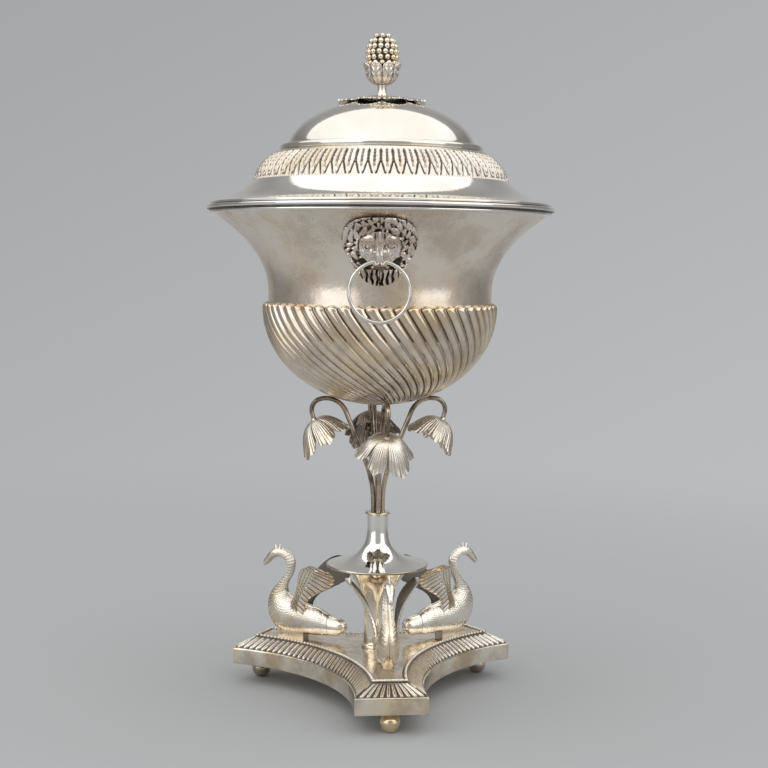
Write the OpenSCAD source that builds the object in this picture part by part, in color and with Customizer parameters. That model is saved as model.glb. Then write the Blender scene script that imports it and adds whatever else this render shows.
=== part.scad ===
// Covered silver sugar bowl: a domed lid on a flared bowl, four flower stems,
// a trumpet pedestal on three swans and a concave three-armed base.
// Millimetres, +Z up. The origin is on the table, below the middle of the base.

/* [Base] */
// Distance from the middle to the straight end of an arm
arm_length = 59.3; // [52:0.1:72]
// Width of an arm at its end
arm_end_w = 28; // [20:0.5:34]
// Radius of the concave side between two arms
side_radius = 76; // [70:1:95]
// Height of the upright wall of the base
wall_h = 6.7; // [4:0.1:10]
// Width of the sloping leaf border
border_w = 8.2; // [5:0.1:10]
// Rise of the sloping leaf border
border_rise = 4.4; // [2:0.1:7]
// Thickness of the sheet silver of the base
base_sheet = 1.2; // [0.8:0.1:2]
// Turn of the stand about the upright axis, in degrees
stand_turn = 6; // [-30:1:30]

/* [Feet] */
// Radius of a ball foot
foot_r = 3.9; // [3:0.1:6]
// Height of the underside of the base above the table
foot_h = 7.9; // [7:0.1:12]
// Distance of a foot from the end of its arm
foot_inset = 6; // [5:0.5:12]

/* [Swans] */
// Distance from the middle to the back end of a swan's lug
lug_start = 32.3; // [30:0.1:36]
// Length of the lug under a swan
lug_l = 11.4; // [8:0.1:14]
// Width of the lug under a swan
lug_w = 5.2; // [4:0.1:8]
// Height of the lug under a swan
lug_h = 2.6; // [2.2:0.1:3]
// Thickness of a swan's wing
wing_t = 1.2; // [0.8:0.1:2]
// Outward lean of a wing, in degrees
wing_lean = 15; // [8:1:20]

/* [Column and pedestal] */
// Radius of the straight part of the column
column_r = 5.3; // [4.5:0.1:7]
// Height of the column above the base
column_h = 33.3; // [33:0.1:45]
// Radius of the round plate above the swans
plate_r = 20.7; // [19:0.1:26]
// Thickness of the round plate
plate_t = 1; // [0.8:0.1:2]
// Height of the trumpet pedestal above the plate
pedestal_h = 20; // [17:0.1:28]
// Radius of the pedestal's neck
pedestal_neck_r = 4.2; // [4.2:0.1:6]
// Thickness of spun sheet in the column and the pedestal
spun_sheet = 0.8; // [0.5:0.1:1]
// Radius of the rod that ties the stand together
rod_r = 2; // [1.5:0.1:2.4]

/* [Stems and flowers] */
// Radius of a stem
stem_r = 1; // [0.8:0.05:1.2]
// Distance of a stem from the axis in the plug
stem_off = 1.85; // [1.75:0.05:1.95]
// Radius of the tight bend at the tip of a stem
tip_bend_r = 4.6; // [4:0.1:5.5]
// Turn of the four stems about the upright axis, in degrees
stem_turn = 8; // [-30:1:30]
// Radius of a flower at its mouth
flower_r = 9.6; // [7:0.1:10.5]
// Height of a flower along its own axis
flower_h = 13; // [10:0.1:14]
// Inward lean of a flower, in degrees
flower_lean = 33; // [20:1:38]
// Extra drop of the front flower below the other three
front_drop = 4.6; // [0:0.1:6]
// Thickness of a petal
petal_t = 0.7; // [0.5:0.1:1]

/* [Bowl] */
// Radius of the gadrooned cup at its ridge
cup_r = 47; // [42:0.1:57]
// Height of the gadrooned cup
cup_h = 39; // [33:0.5:45]
// Step of the cup's ridge outside the plain neck
ridge_w = 2.4; // [1.5:0.1:4]
// Height of the plain neck
neck_h = 36; // [32:0.5:42]
// Outward flare of the neck, from its narrowest to the rim
neck_flare = 20.8; // [14:0.1:26]
// Thickness of the bowl's sheet silver
bowl_sheet = 1; // [0.8:0.1:1.6]
// Width of the rim moulding, across the rim
rim_w = 5; // [4:0.1:7]
// Height of the rim moulding
rim_h = 3.4; // [2.5:0.1:5]

/* [Lion masks and rings] */
// Width of a lion mask
mask_w = 28; // [24:0.5:32]
// Height of a lion mask
mask_h = 24.5; // [20:0.5:26]
// Thickness of a mask where it meets the wall
mask_t = 2.6; // [2:0.1:4]
// Distance of a ring's hinge outside the neck at its narrowest
hinge_out = 8.9; // [8.5:0.1:11]
// Height of a ring's hinge below the rim's top
hinge_drop = 21.5; // [20:0.1:24]
// Radius of a ring to the middle of its wire
ring_r = 11.2; // [9:0.1:14]
// Radius of the ring's wire
ring_wire_r = 0.72; // [0.5:0.01:0.9]
// Room round the wire in the hole through a lion's mouth
mouth_room = 0.53; // [0.45:0.01:0.8]

/* [Lid] */
// Gap between the lid and the rim below it
lid_gap = 0.2; // [0.1:0.1:0.5]
// Width of rim left showing round the lid
lid_inset = 1.4; // [0.8:0.1:3]
// Width of the hollow cove round the lid
cove_w = 17; // [13:0.5:19]
// Height of the cove
cove_h = 9.8; // [7:0.1:12]
// Height of the leaf band
band_h = 11.4; // [8:0.1:14]
// Inward slope of the leaf band over its height
band_in = 9; // [6:0.1:11]
// Thickness of the leaf band
band_t = 1.2; // [0.8:0.1:2]
// Height of the dome
dome_h = 21.6; // [16:0.1:28]
// Thickness of the lid's sheet silver
lid_sheet = 0.9; // [0.7:0.1:1.4]
// Depth of the bezel below the lid
bezel_h = 5; // [3:0.1:7]
// Room between the bezel and the bowl's rim
bezel_room = 2.6; // [2:0.1:4]

/* [Finial] */
// Radius of the leaf rosette
rosette_r = 17.4; // [12:0.1:20]
// Length of the finial's bare stem
finial_stem_h = 4.2; // [2:0.1:8]
// Radius of the finial's stem
finial_stem_r = 1.7; // [1.6:0.1:2.5]
// Radius of the leaf calyx
calyx_r = 7.7; // [6.5:0.1:9]
// Height of the leaf calyx
calyx_h = 8; // [6:0.1:10]
// Radius of the berry
berry_r = 6.6; // [5:0.1:7]
// Height of the berry above the calyx
berry_h = 13.5; // [9:0.1:15]
// Radius of the threaded stud that holds the finial
stud_r = 1; // [0.8:0.05:1.1]

/* [Hidden] */
$fn = 96;

// Radial clearance of a part that is pushed or screwed into another
fit_gap = 0.05;
// Steps along a curved outline
steps = 24;

// Heights, worked up from the table
base_top_z = foot_h + wall_h;
deck_z = base_top_z + border_rise;
plate_z = deck_z + column_h;
pedestal_z = plate_z + plate_t;
collar_z = pedestal_z + pedestal_h;
collar_h = 1.3;
plug_top_z = collar_z + collar_h;

// Plan of the base. A side is an arc whose centre lies side_c from the middle.
corner_r = norm([arm_length, arm_end_w / 2]);
corner_a = 60 - atan2(arm_end_w / 2, arm_length);
side_c = corner_r * cos(corner_a) + sqrt(pow(side_radius, 2) - pow(corner_r * sin(corner_a), 2));

// Directions of the three arms: front, right and left
arm_front = stand_turn - 90;
arm_right = arm_front + 120;
arm_left = arm_front - 120;

// Directions of the four stems
stem_dir_front = stem_turn - 90;

// Foot: the ball is cut flat where it stands
foot_flat_r = 1.4;
foot_ball_z = sqrt(pow(foot_r, 2) - pow(foot_flat_r, 2));
foot_neck_r = 2;
foot_peg_r = 1;

// Underside fastening
underplate_t = 1;
foot_peg_z = foot_h + underplate_t + 0.5;
washer_t = 0.8;
washer_r = 3 * rod_r;
nut_h = 2.8;
nut_r = 2 * rod_r;
rod_end_z = foot_h - washer_t - nut_h - 0.4;

// Column flare
column_in_r = column_r - 1;
column_flare_z = 11;
column_top_r = 15;

// Plug in the pedestal's neck
plug_r = pedestal_neck_r - spun_sheet - fit_gap;
plug_l = 13;
rod_in_plug = 6.5;
stem_in_plug = 5.6;

// Stem route in its upright plane: rise, gentle bend, slant, arch, tight bend, drop
stem_rise_z = plug_top_z + 3.5;
bend1_r = 45;
bend1_a = 22;
slant_l = 21.8;
arch_r = 8.8;
arch_a = 105;
tip_a = 195;
drop_l = 2.6;
slant_start = [stem_off + bend1_r * (1 - cos(bend1_a)), stem_rise_z + bend1_r * sin(bend1_a)];
slant_end = slant_start + slant_l * [sin(bend1_a), cos(bend1_a)];
arch_c = slant_end + arch_r * [cos(bend1_a), -sin(bend1_a)];
arch_end = arch_c + arch_r * [-cos(arch_a), sin(arch_a)];
tip_c = arch_end + tip_bend_r * [cos(arch_a), -sin(arch_a)];
tip_end = tip_c + tip_bend_r * [-cos(tip_a), sin(tip_a)];
function flower_at(k) = tip_end + (k == 0 ? drop_l + front_drop : drop_l) * [sin(tip_a), cos(tip_a)];

// The cup rests on the four arches. Where they meet, both lean by seat_a; each
// pass of seat_lean works that angle out again from the cup's slope.
arch_out_r = arch_r + stem_r;
function cup_slope(r) = cup_h * r / (pow(cup_r, 2) * sqrt(1 - pow(r / cup_r, 2)));
function seat_lean(a, passes) = passes == 0 ? a :
    seat_lean(atan(cup_slope(arch_c[0] - arch_out_r * sin(a))), passes - 1);
seat_a = seat_lean(15, 8);
seat_at = arch_c + arch_out_r * [-sin(seat_a), cos(seat_a)];
cup_touch = cup_h * sqrt(1 - pow(seat_at[0] / cup_r, 2));
cup_z = seat_at[1] + cup_touch;
neck_r = cup_r - ridge_w;
neck_z = cup_z + 0.5;
neck_waist = 5.5;
rim_z = neck_z + neck_h;
rim_top_z = rim_z + rim_h;
rim_in_r = neck_r + neck_flare - bowl_sheet;
rim_out_r = rim_in_r + rim_w;

// Masks
mask_top_z = rim_top_z - 5.8;
mask_mid_z = mask_top_z - mask_h / 2;
mask_slope = 31;
hinge_y = neck_r + hinge_out;
hinge_z = rim_top_z - hinge_drop;
mouth_r = ring_wire_r + mouth_room;
muzzle_r = 4.2;
muzzle_half_w = 2.7;

// Lid
lid_z = rim_top_z + lid_gap;
lid_r = rim_out_r - lid_inset;
cove_z = lid_z + lid_sheet;
band_z = cove_z + cove_h - lid_sheet;
band_r = lid_r - cove_w;
band_top_z = band_z + band_h;
band_top_r = band_r - band_in;
wire_r = 1.4;
dome_z = band_top_z - 0.6;
dome_r = band_top_r - 4;
dome_top_z = dome_z + dome_h;
bezel_r = rim_in_r - bezel_room;
bezel_t = 1;

// Finial
rosette_t = 0.6;
rosette_dish = 1.2;
rosette_z = dome_top_z + 1;
finial_z = rosette_z + rosette_t;
calyx_z = finial_z + finial_stem_h;
berry_z = calyx_z + calyx_h - 1.2;
stud_in_finial = 3;
lid_nut_h = 1.8;
lid_washer_t = 0.5;
lid_washer_r = 3.2 * stud_r;
lid_nut_r = 2.3 * stud_r;
lid_nut_z = dome_top_z - lid_sheet - lid_washer_t - lid_nut_h;

silver = [0.80, 0.78, 0.74];
warm_silver = [0.74, 0.70, 0.63];
dark_silver = [0.55, 0.51, 0.46];
steel = [0.60, 0.60, 0.60];

// ---- helpers ----

// Corner points of the base plan, moved in by "inset" from the outer edge
function plan(inset) = [
    for (side = [0:2])
        let(mid = arm_front + 60 + 120 * side,
            r = side_radius + inset,
            half = acos((side_c / 2 - arm_length + inset) / r) - 60)
        for (i = [0:steps])
            let(t = half * (1 - 2 * i / steps))
            [side_c * cos(mid) - r * cos(mid + t), side_c * sin(mid) - r * sin(mid + t)]
];

// Outer radius of the bowl's neck at height h above its foot
function neck_at(h) = neck_r + neck_flare * pow(max(0, h - neck_waist) / (neck_h - neck_waist), 2.1);

// Quarter ellipse from angle a0 to a1 about [0, z], semi-axes r and h
function ellipse_arc(r, h, z, a0, a1) = [
    for (i = [0:steps]) let(a = a0 + (a1 - a0) * i / steps) [r * cos(a), z + h * sin(a)]
];

// Outline of the lid's cove, from its edge inwards, moved in by "t"
function cove(t) = [
    for (i = [0:steps / 2])
        let(u = i / (steps / 2))
        [lid_r - cove_w * pow(u, 0.6) - t * u, lid_z + lid_sheet + (cove_h - lid_sheet) * u - t]
];

// A plate of the base plan
module plan_plate(inset, z0, z1) {
    translate([0, 0, z0])
        linear_extrude(z1 - z0)
            polygon(plan(inset));
}

// A round disc or tube between two heights
module tube(r_out, r_in, z0, z1) {
    difference() {
        translate([0, 0, z0])
            cylinder(r = r_out, h = z1 - z0);
        if (r_in > 0)
            translate([0, 0, z0 - 1])
                cylinder(r = r_in, h = z1 - z0 + 2);
    }
}

// Carries a piece drawn along +X to the direction "a"
module towards(a) {
    rotate([0, 0, a])
        children();
}

// ---- base ----

module base_shell() {
    color(silver)
        difference() {
            union() {
                plan_plate(0, foot_h, base_top_z);
                plan_plate(border_w, base_top_z - 0.01, deck_z);
            }
            plan_plate(base_sheet, foot_h - 1, base_top_z - base_sheet);
            plan_plate(border_w + base_sheet, foot_h - 1, deck_z - base_sheet);
            translate([0, 0, foot_h])
                cylinder(r = rod_r + 3 * fit_gap, h = deck_z);
        }
}

module base_underplate() {
    color(dark_silver)
        difference() {
            plan_plate(base_sheet, foot_h, foot_h + underplate_t);
            translate([0, 0, foot_h - 1])
                cylinder(r = rod_r + 3 * fit_gap, h = underplate_t + 2);
            for (a = [arm_front, arm_right, arm_left])
                towards(a)
                    translate([arm_length - foot_inset, 0, foot_h - 1])
                        cylinder(r = foot_peg_r + fit_gap, h = underplate_t + 2, $fn = 32);
        }
}

// A strip of triangular section on the shoulder of the base, rising inwards
module leaf_border() {
    edge = 0.4;
    rings = [plan(edge), plan(border_w), plan(border_w)];
    heights = [base_top_z, deck_z - 0.2, base_top_z];
    n = len(rings[0]);
    color(warm_silver)
        polyhedron(
            points = [for (k = [0:2]) for (p = rings[k]) [p[0], p[1], heights[k]]],
            faces = [for (k = [0:2]) for (i = [0:n - 1])
                let(j = (i + 1) % n, m = (k + 1) % 3)
                each [[k * n + i, m * n + i, k * n + j], [k * n + j, m * n + i, m * n + j]]]
        );
}

module foot(a) {
    color(silver)
        towards(a)
            translate([arm_length - foot_inset, 0, 0]) {
                difference() {
                    union() {
                        translate([0, 0, foot_ball_z])
                            sphere(r = foot_r, $fn = 48);
                        translate([0, 0, foot_ball_z])
                            cylinder(r = foot_neck_r, h = foot_h - foot_ball_z, $fn = 48);
                        translate([0, 0, foot_ball_z])
                            cylinder(r = foot_peg_r, h = foot_peg_z - foot_ball_z, $fn = 32);
                    }
                    translate([0, 0, -foot_r])
                        cube([3 * foot_r, 3 * foot_r, 2 * foot_r], center = true);
                }
            }
}

module foot_front() {
    foot(arm_front);
}

module foot_right() {
    foot(arm_right);
}

module foot_left() {
    foot(arm_left);
}

// ---- swans: drawn in the plane of an arm, X outwards ----

// The middle of a swan's lug, which the rest of the swan is placed from
swan_x = lug_start + lug_l / 2;
swan_z = deck_z + lug_h;

module lug(a) {
    color(warm_silver)
        towards(a)
            translate([lug_start, -lug_w / 2, deck_z])
                cube([lug_l, lug_w, lug_h]);
}

module swan_front_lug() {
    lug(arm_front);
}

module swan_right_lug() {
    lug(arm_right);
}

module swan_left_lug() {
    lug(arm_left);
}

// Two balls joined by their skin: each is [x, z, radius] from the lug's top
module limb(p, q) {
    hull() {
        translate([p[0], 0, p[1]])
            sphere(r = p[2], $fn = 16);
        translate([q[0], 0, q[1]])
            sphere(r = q[2], $fn = 16);
    }
}

module swan_body() {
    breast = [5.4, 6.7, 7];
    rump = [-7, 5.4, 5.4];
    tail = [-21.2, 3.5, 2.9];
    neck = [[7, 11.4, 4.6], [4.4, 17.4, 2.8], [1.1, 23.2, 1.8], [0.7, 26.6, 1.5], [3.6, 30.4, 1.5]];
    head = [9.2, 29.9, 2.2];
    beak = [4.6, -4.3];
    beak_r = 1.5;
    crest_h = 2.6;
    squeeze = 0.72;
    translate([swan_x, 0, swan_z])
        difference() {
            union() {
                scale([1, squeeze, 1]) {
                    limb(breast, rump);
                    limb(rump, tail);
                }
                for (i = [0:3])
                    limb(neck[i], neck[i + 1]);
                limb(neck[4], head);
                translate([head[0], 0, head[1]])
                    rotate([0, 90 - atan2(beak[1], beak[0]), 0])
                        cylinder(r1 = beak_r, r2 = 0.6, h = norm(beak), $fn = 24);
                translate([head[0] - 1, 0, head[1] + 1.2])
                    cylinder(r1 = 0.9, r2 = 0.5, h = crest_h, $fn = 24);
            }
            translate([0, 0, -10])
                cube([60, 20, 20], center = true);
        }
}

module swan_front() {
    color(warm_silver)
        towards(arm_front)
            swan_body();
}

module swan_right() {
    color(warm_silver)
        towards(arm_right)
            swan_body();
}

module swan_left() {
    color(warm_silver)
        towards(arm_left)
            swan_body();
}

// Side view of a wing, from its root up, [x, height] from the middle of the lug's top
function wing_outline(top) = [
    [-7.4, 0], [-1.4, 1.5], [-2.2, top * 0.3], [-2.8, top * 0.58], [-4.6, top * 0.82],
    [-8, top * 0.96], [-14, top], [-18.4, top * 0.95], [-19.6, top * 0.84],
    [-19, top * 0.68], [-16, top * 0.52], [-12, top * 0.42], [-9.4, top * 0.28]
];

// Each wing springs from the swan's flank and leans outwards, up to the plate
module wings() {
    root_y = 5.6;
    root_z = 7;
    room = 0.5;
    top = (plate_z - swan_z - root_z - wing_t - room) / cos(wing_lean);
    translate([swan_x, 0, swan_z + root_z])
        for (side = [-1, 1])
            translate([0, side * root_y, 0])
                rotate([90 - side * wing_lean, 0, 0])
                    translate([0, 0, -wing_t / 2])
                        linear_extrude(wing_t)
                            polygon(wing_outline(top));
}

module swan_front_wings() {
    color(warm_silver)
        towards(arm_front)
            wings();
}

module swan_right_wings() {
    color(warm_silver)
        towards(arm_right)
            wings();
}

module swan_left_wings() {
    color(warm_silver)
        towards(arm_left)
            wings();
}

// ---- column and pedestal ----

module column() {
    foot_r1 = column_r + 0.9;
    curve = [
        for (i = [0:steps])
            let(u = i / steps)
            [column_r + (column_top_r - column_r) * pow(u, 2.8),
             deck_z + column_flare_z + (column_h - column_flare_z) * u]
    ];
    outer = concat([[foot_r1, deck_z], [foot_r1, deck_z + 0.8], [column_r, deck_z + 1.4]], curve);
    inner = concat(
        [for (i = [steps:-1:0]) [curve[i][0] - 1, curve[i][1]]],
        [[column_in_r, deck_z]]
    );
    color(silver)
        rotate_extrude()
            polygon(concat(outer, inner));
}

module plate_disc() {
    color(silver)
        tube(plate_r, rod_r + 3 * fit_gap, plate_z, plate_z + plate_t);
}

// A trumpet whose radius falls away fast above the plate
module pedestal() {
    brim = plate_r - 0.6;
    outer = [
        for (i = [0:steps])
            let(u = i / steps)
            [
                pedestal_neck_r + (brim - pedestal_neck_r) * pow(1 - u, 4.2),
                pedestal_z + pedestal_h * pow(u, 1.15)
            ]
    ];
    color(silver)
        rotate_extrude()
            polygon(concat(
                outer,
                [for (i = [steps:-1:1]) [outer[i][0] - spun_sheet, outer[i][1]]],
                [[outer[0][0] - 4 * spun_sheet, pedestal_z]]
            ));
}

module pedestal_collar() {
    color(silver)
        tube(pedestal_neck_r + 0.9, plug_r + fit_gap, collar_z, plug_top_z);
}

module stem_plug() {
    color(dark_silver)
        difference() {
            tube(plug_r, 0, plug_top_z - plug_l, plug_top_z);
            translate([0, 0, plug_top_z - plug_l - 1])
                cylinder(r = rod_r + fit_gap, h = rod_in_plug + 1, $fn = 48);
            for (k = [0:3])
                towards(stem_dir_front + 90 * k)
                    translate([stem_off, 0, plug_top_z - stem_in_plug])
                        cylinder(r = stem_r + fit_gap, h = stem_in_plug + 1, $fn = 32);
        }
}

module tie_rod() {
    color(steel)
        tube(rod_r, 0, rod_end_z, plug_top_z - plug_l + rod_in_plug - 0.5);
}

module tie_washer() {
    color(steel)
        tube(washer_r, rod_r + 2 * fit_gap, foot_h - washer_t, foot_h);
}

module tie_nut() {
    color(steel)
        difference() {
            translate([0, 0, foot_h - washer_t - nut_h])
                cylinder(r = nut_r, h = nut_h, $fn = 6);
            translate([0, 0, foot_h - washer_t - nut_h - 1])
                cylinder(r = rod_r + fit_gap, h = nut_h + 2, $fn = 48);
        }
}

// ---- stems and flowers ----

// Points on an arc of the stem's route, each [radius, height, heading]
function route_arc(c, r, a0, a1, n) = [
    for (i = [0:n]) let(a = a0 + (a1 - a0) * i / n) [c[0] - r * cos(a), c[1] + r * sin(a), a]
];

// The stem's route from its foot in the plug to its tip over flower k
stem_foot_z = plug_top_z - stem_in_plug + 0.2;
function route(k) = concat(
    [[stem_off, stem_foot_z, 0]],
    route_arc([stem_off + bend1_r, stem_rise_z], bend1_r, 0, bend1_a, 5),
    route_arc(arch_c, arch_r, bend1_a, arch_a, 9),
    route_arc(tip_c, tip_bend_r, arch_a, tip_a, 7),
    [concat(flower_at(k), tip_a)]
);

// A round wire of "sides" flats swept along the route
module stem(k) {
    sides = 12;
    line = route(k);
    last = len(line) - 1;
    skin = [
        for (i = [0:last])
            let(p = line[i])
            for (j = [0:sides - 1])
                let(a = 360 * j / sides, u = stem_r * cos(a))
                [p[0] + u * cos(p[2]), stem_r * sin(a), p[1] - u * sin(p[2])]
    ];
    walls = [
        for (i = [0:last - 1]) for (j = [0:sides - 1])
            let(a = i * sides + j, b = i * sides + (j + 1) % sides)
            each [[a, a + sides, b], [b, a + sides, b + sides]]
    ];
    color(dark_silver)
        towards(stem_dir_front + 90 * k)
            polyhedron(
                points = skin,
                faces = concat(
                    [[for (j = [0:sides - 1]) j]],
                    walls,
                    [[for (j = [sides - 1:-1:0]) last * sides + j]]
                )
            );
}

module stem_front() {
    stem(0);
}

module stem_right() {
    stem(1);
}

module stem_back() {
    stem(2);
}

module stem_left() {
    stem(3);
}

// An open bell hanging from the end of its stem, with six notches in its mouth
module flower(k) {
    notch_r = 2.4;
    notch_l = 3.2;
    outer = ellipse_arc(flower_r, flower_h, -flower_h, 0, 90);
    inner = ellipse_arc(flower_r - petal_t, flower_h - 1.6 * petal_t, -flower_h, 90, 0);
    color(warm_silver)
        towards(stem_dir_front + 90 * k)
            translate([flower_at(k)[0], 0, flower_at(k)[1] - 0.1])
                rotate([0, flower_lean, 0])
                    difference() {
                        rotate_extrude($fn = 48)
                            polygon(concat(outer, inner));
                        for (i = [0:5])
                            rotate([0, 0, 60 * i + 30])
                                translate([flower_r, 0, -flower_h])
                                    rotate([0, 90, 0])
                                        cylinder(r = notch_r, h = notch_l, center = true, $fn = 24);
                        rotate([0, 180 - flower_lean, 0])
                            translate([0, 0, -20 - 0.1])
                                cylinder(r = stem_r + 3 * fit_gap, h = 20, $fn = 24);
                    }
}

module flower_front() {
    flower(0);
}

module flower_right() {
    flower(1);
}

module flower_back() {
    flower(2);
}

module flower_left() {
    flower(3);
}

// ---- bowl ----

module bowl_cup() {
    outer = ellipse_arc(cup_r, cup_h, cup_z, -90, 0);
    inner = ellipse_arc(cup_r - bowl_sheet, cup_h - bowl_sheet, cup_z, 0, -90);
    color(warm_silver)
        rotate_extrude()
            polygon(concat(
                outer,
                [[cup_r - 0.6, neck_z], [neck_r - bowl_sheet, neck_z]],
                [for (p = inner) if (p[0] < neck_r - bowl_sheet) p]
            ));
}

// The neck's wall as a solid of revolution, moved out by "grow"
module neck_solid(grow) {
    rotate_extrude()
        polygon(concat(
            [[0, neck_z]],
            [for (i = [0:steps]) let(h = neck_h * i / steps) [neck_at(h) + grow, neck_z + h]],
            [[0, rim_z]]
        ));
}

module bowl_neck() {
    outer = [for (i = [0:steps]) let(h = neck_h * i / steps) [neck_at(h), neck_z + h]];
    color(silver)
        rotate_extrude()
            polygon(concat(outer, [for (i = [steps:-1:0]) outer[i] - [bowl_sheet, 0]]));
}

module rim_moulding() {
    step = rim_h / 6;
    color(silver)
        rotate_extrude()
            polygon([
                [rim_in_r, rim_z],
                [rim_in_r + bowl_sheet, rim_z],
                [rim_out_r - 1.8, rim_z + step],
                [rim_out_r - 1.3, rim_z + 2 * step],
                [rim_out_r - 1.3, rim_z + 3 * step],
                [rim_out_r - 0.4, rim_z + 4 * step],
                [rim_out_r, rim_z + 5 * step],
                [rim_out_r - 0.5, rim_top_z],
                [rim_in_r, rim_top_z]
            ]);
}

// Shield outline of a mask: flat brow, broad cheeks, round beard
function shield() = let(w = mask_w / 2, h = mask_h) [
    for (i = [0:steps])
        let(a = -90 + 360 * i / steps,
            taper = 0.9 + 0.12 * sin(a))
        [w * cos(a) * taper * 1.08, h / 2 * sin(a)]
];

// A mask at the front of the bowl; its back follows the neck
module mask() {
    face_y = neck_at(mask_mid_z - neck_z) + mask_t;
    difference() {
        union() {
            difference() {
                translate([0, -neck_r + 6, mask_mid_z])
                    rotate([90, 0, 0])
                        linear_extrude(30)
                            polygon(shield());
                translate([0, -face_y, mask_mid_z])
                    rotate([mask_slope, 0, 0])
                        translate([-mask_w, -40, -mask_h])
                            cube([2 * mask_w, 40, 3 * mask_h]);
            }
            intersection() {
                translate([0, -hinge_y + 1.2, hinge_z + 0.8])
                    sphere(r = muzzle_r, $fn = 48);
                translate([0, -hinge_y + 1, hinge_z])
                    cube([2 * muzzle_half_w, 12, 12], center = true);
            }
        }
        neck_solid(0.02);
        translate([0, -hinge_y, hinge_z])
            rotate([0, 90, 0])
                cylinder(r = mouth_r, h = 3 * mask_w, center = true, $fn = 48);
    }
}

module mask_front() {
    color(dark_silver)
        mask();
}

module mask_back() {
    color(dark_silver)
        rotate([0, 0, 180])
            mask();
}

module ring() {
    translate([0, -hinge_y, hinge_z - ring_r])
        rotate([90, 0, 0])
            rotate_extrude()
                translate([ring_r, 0])
                    circle(r = ring_wire_r, $fn = 24);
}

module ring_front() {
    color(silver)
        ring();
}

module ring_back() {
    color(silver)
        rotate([0, 0, 180])
            ring();
}

// ---- lid ----

module lid_cover() {
    inner_dome = ellipse_arc(dome_r - lid_sheet, dome_h - lid_sheet, dome_z, 0, 90);
    outer_dome = ellipse_arc(dome_r, dome_h, dome_z, 90, 0);
    hole = stud_r + 2 * fit_gap;
    seat = [[band_top_r - band_t, band_top_z], [band_r - band_t, band_z]];
    color(silver)
        difference() {
            rotate_extrude()
                polygon(concat(
                    [[lid_r, lid_z]],
                    [for (i = [0:steps / 2]) cove(0)[i]],
                    [seat[1], seat[0], [dome_r, band_top_z]],
                    [for (i = [steps:-1:0]) if (outer_dome[i][1] > band_top_z) outer_dome[i]],
                    [for (i = [steps:-1:0]) inner_dome[i]],
                    [seat[0] - [lid_sheet, lid_sheet], seat[1] - [lid_sheet, 0]],
                    [for (i = [steps / 2:-1:1]) cove(lid_sheet)[i]],
                    [[lid_r - 3, lid_z]]
                ));
            translate([0, 0, dome_z])
                cylinder(r = hole, h = 2 * dome_h, $fn = 32);
        }
}

module lid_bezel() {
    color(silver)
        tube(bezel_r, bezel_r - bezel_t, lid_z - bezel_h, lid_z);
}

// A strip whose face swells between its two edges
module lid_leaf_band() {
    swell = 1.3;
    face = [
        for (i = [0:12])
            let(u = i / 12)
            [band_r - band_in * u + swell * sin(180 * u), band_z + band_h * u + 0.6 * swell * sin(180 * u)]
    ];
    color(warm_silver)
        rotate_extrude()
            polygon(concat(face, [[band_top_r - band_t, band_top_z], [band_r - band_t, band_z]]));
}

module lid_wire() {
    color(silver)
        translate([0, 0, band_top_z + wire_r])
            rotate_extrude()
                translate([dome_r + wire_r, 0])
                    circle(r = wire_r, $fn = 32);
}

// A thin dished plate of leaves
module lid_rosette() {
    color(warm_silver)
        rotate_extrude()
            polygon([
                [stud_r + 2 * fit_gap, dome_top_z + 0.05],
                [3, dome_top_z + 0.05],
                [3, rosette_z],
                [rosette_r, rosette_z - rosette_dish],
                [rosette_r, rosette_z - rosette_dish + rosette_t],
                [3, finial_z],
                [stud_r + 2 * fit_gap, finial_z]
            ]);
}

module finial_calyx() {
    lip = 1.2;
    swell = calyx_r - finial_stem_r;
    color(warm_silver)
        difference() {
            rotate_extrude()
                polygon(concat(
                    [[0, finial_z], [finial_stem_r, finial_z], [finial_stem_r, calyx_z]],
                    [for (i = [1:12]) let(a = 90 * i / 12)
                        [finial_stem_r + swell * sin(a), calyx_z + calyx_h * (1 - cos(a))]],
                    [[calyx_r - lip, calyx_z + calyx_h], [berry_r * 0.8, berry_z], [0, berry_z]]
                ));
            translate([0, 0, finial_z - 1])
                cylinder(r = stud_r + fit_gap, h = stud_in_finial + 1, $fn = 32);
        }
}

module finial_berry() {
    top = berry_z + berry_h;
    belly = 0.3 * berry_h;
    color(dark_silver)
        rotate_extrude()
            polygon(concat(
                [[0, berry_z], [berry_r * 0.8, berry_z]],
                [for (i = [0:12]) let(a = 90 * i / 12)
                    [berry_r * cos(a), berry_z + belly + (top - berry_z - belly) * sin(a)]]
            ));
}

module finial_stud() {
    color(steel)
        tube(stud_r, 0, lid_nut_z - 0.8, finial_z + stud_in_finial - 0.2);
}

module finial_washer() {
    from = lid_nut_z + lid_nut_h;
    color(steel)
        tube(lid_washer_r, stud_r + 2 * fit_gap, from, from + lid_washer_t - 0.1);
}

module finial_nut() {
    color(steel)
        difference() {
            translate([0, 0, lid_nut_z])
                cylinder(r = lid_nut_r, h = lid_nut_h, $fn = 6);
            translate([0, 0, lid_nut_z - 1])
                cylinder(r = stud_r + fit_gap, h = lid_nut_h + 2, $fn = 32);
        }
}

base_shell();
base_underplate();
leaf_border();
foot_front();
foot_left();
foot_right();
swan_front_lug();
swan_left_lug();
swan_right_lug();
swan_front();
swan_left();
swan_right();
swan_front_wings();
swan_left_wings();
swan_right_wings();
column();
plate_disc();
pedestal();
pedestal_collar();
stem_plug();
tie_rod();
tie_washer();
tie_nut();
stem_front();
stem_right();
stem_back();
stem_left();
flower_front();
flower_right();
flower_back();
flower_left();
bowl_cup();
bowl_neck();
rim_moulding();
mask_front();
mask_back();
ring_front();
ring_back();
lid_cover();
lid_bezel();
lid_leaf_band();
lid_wire();
lid_rosette();
finial_calyx();
finial_berry();
finial_stud();
finial_washer();
finial_nut();
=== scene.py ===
import math

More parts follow.
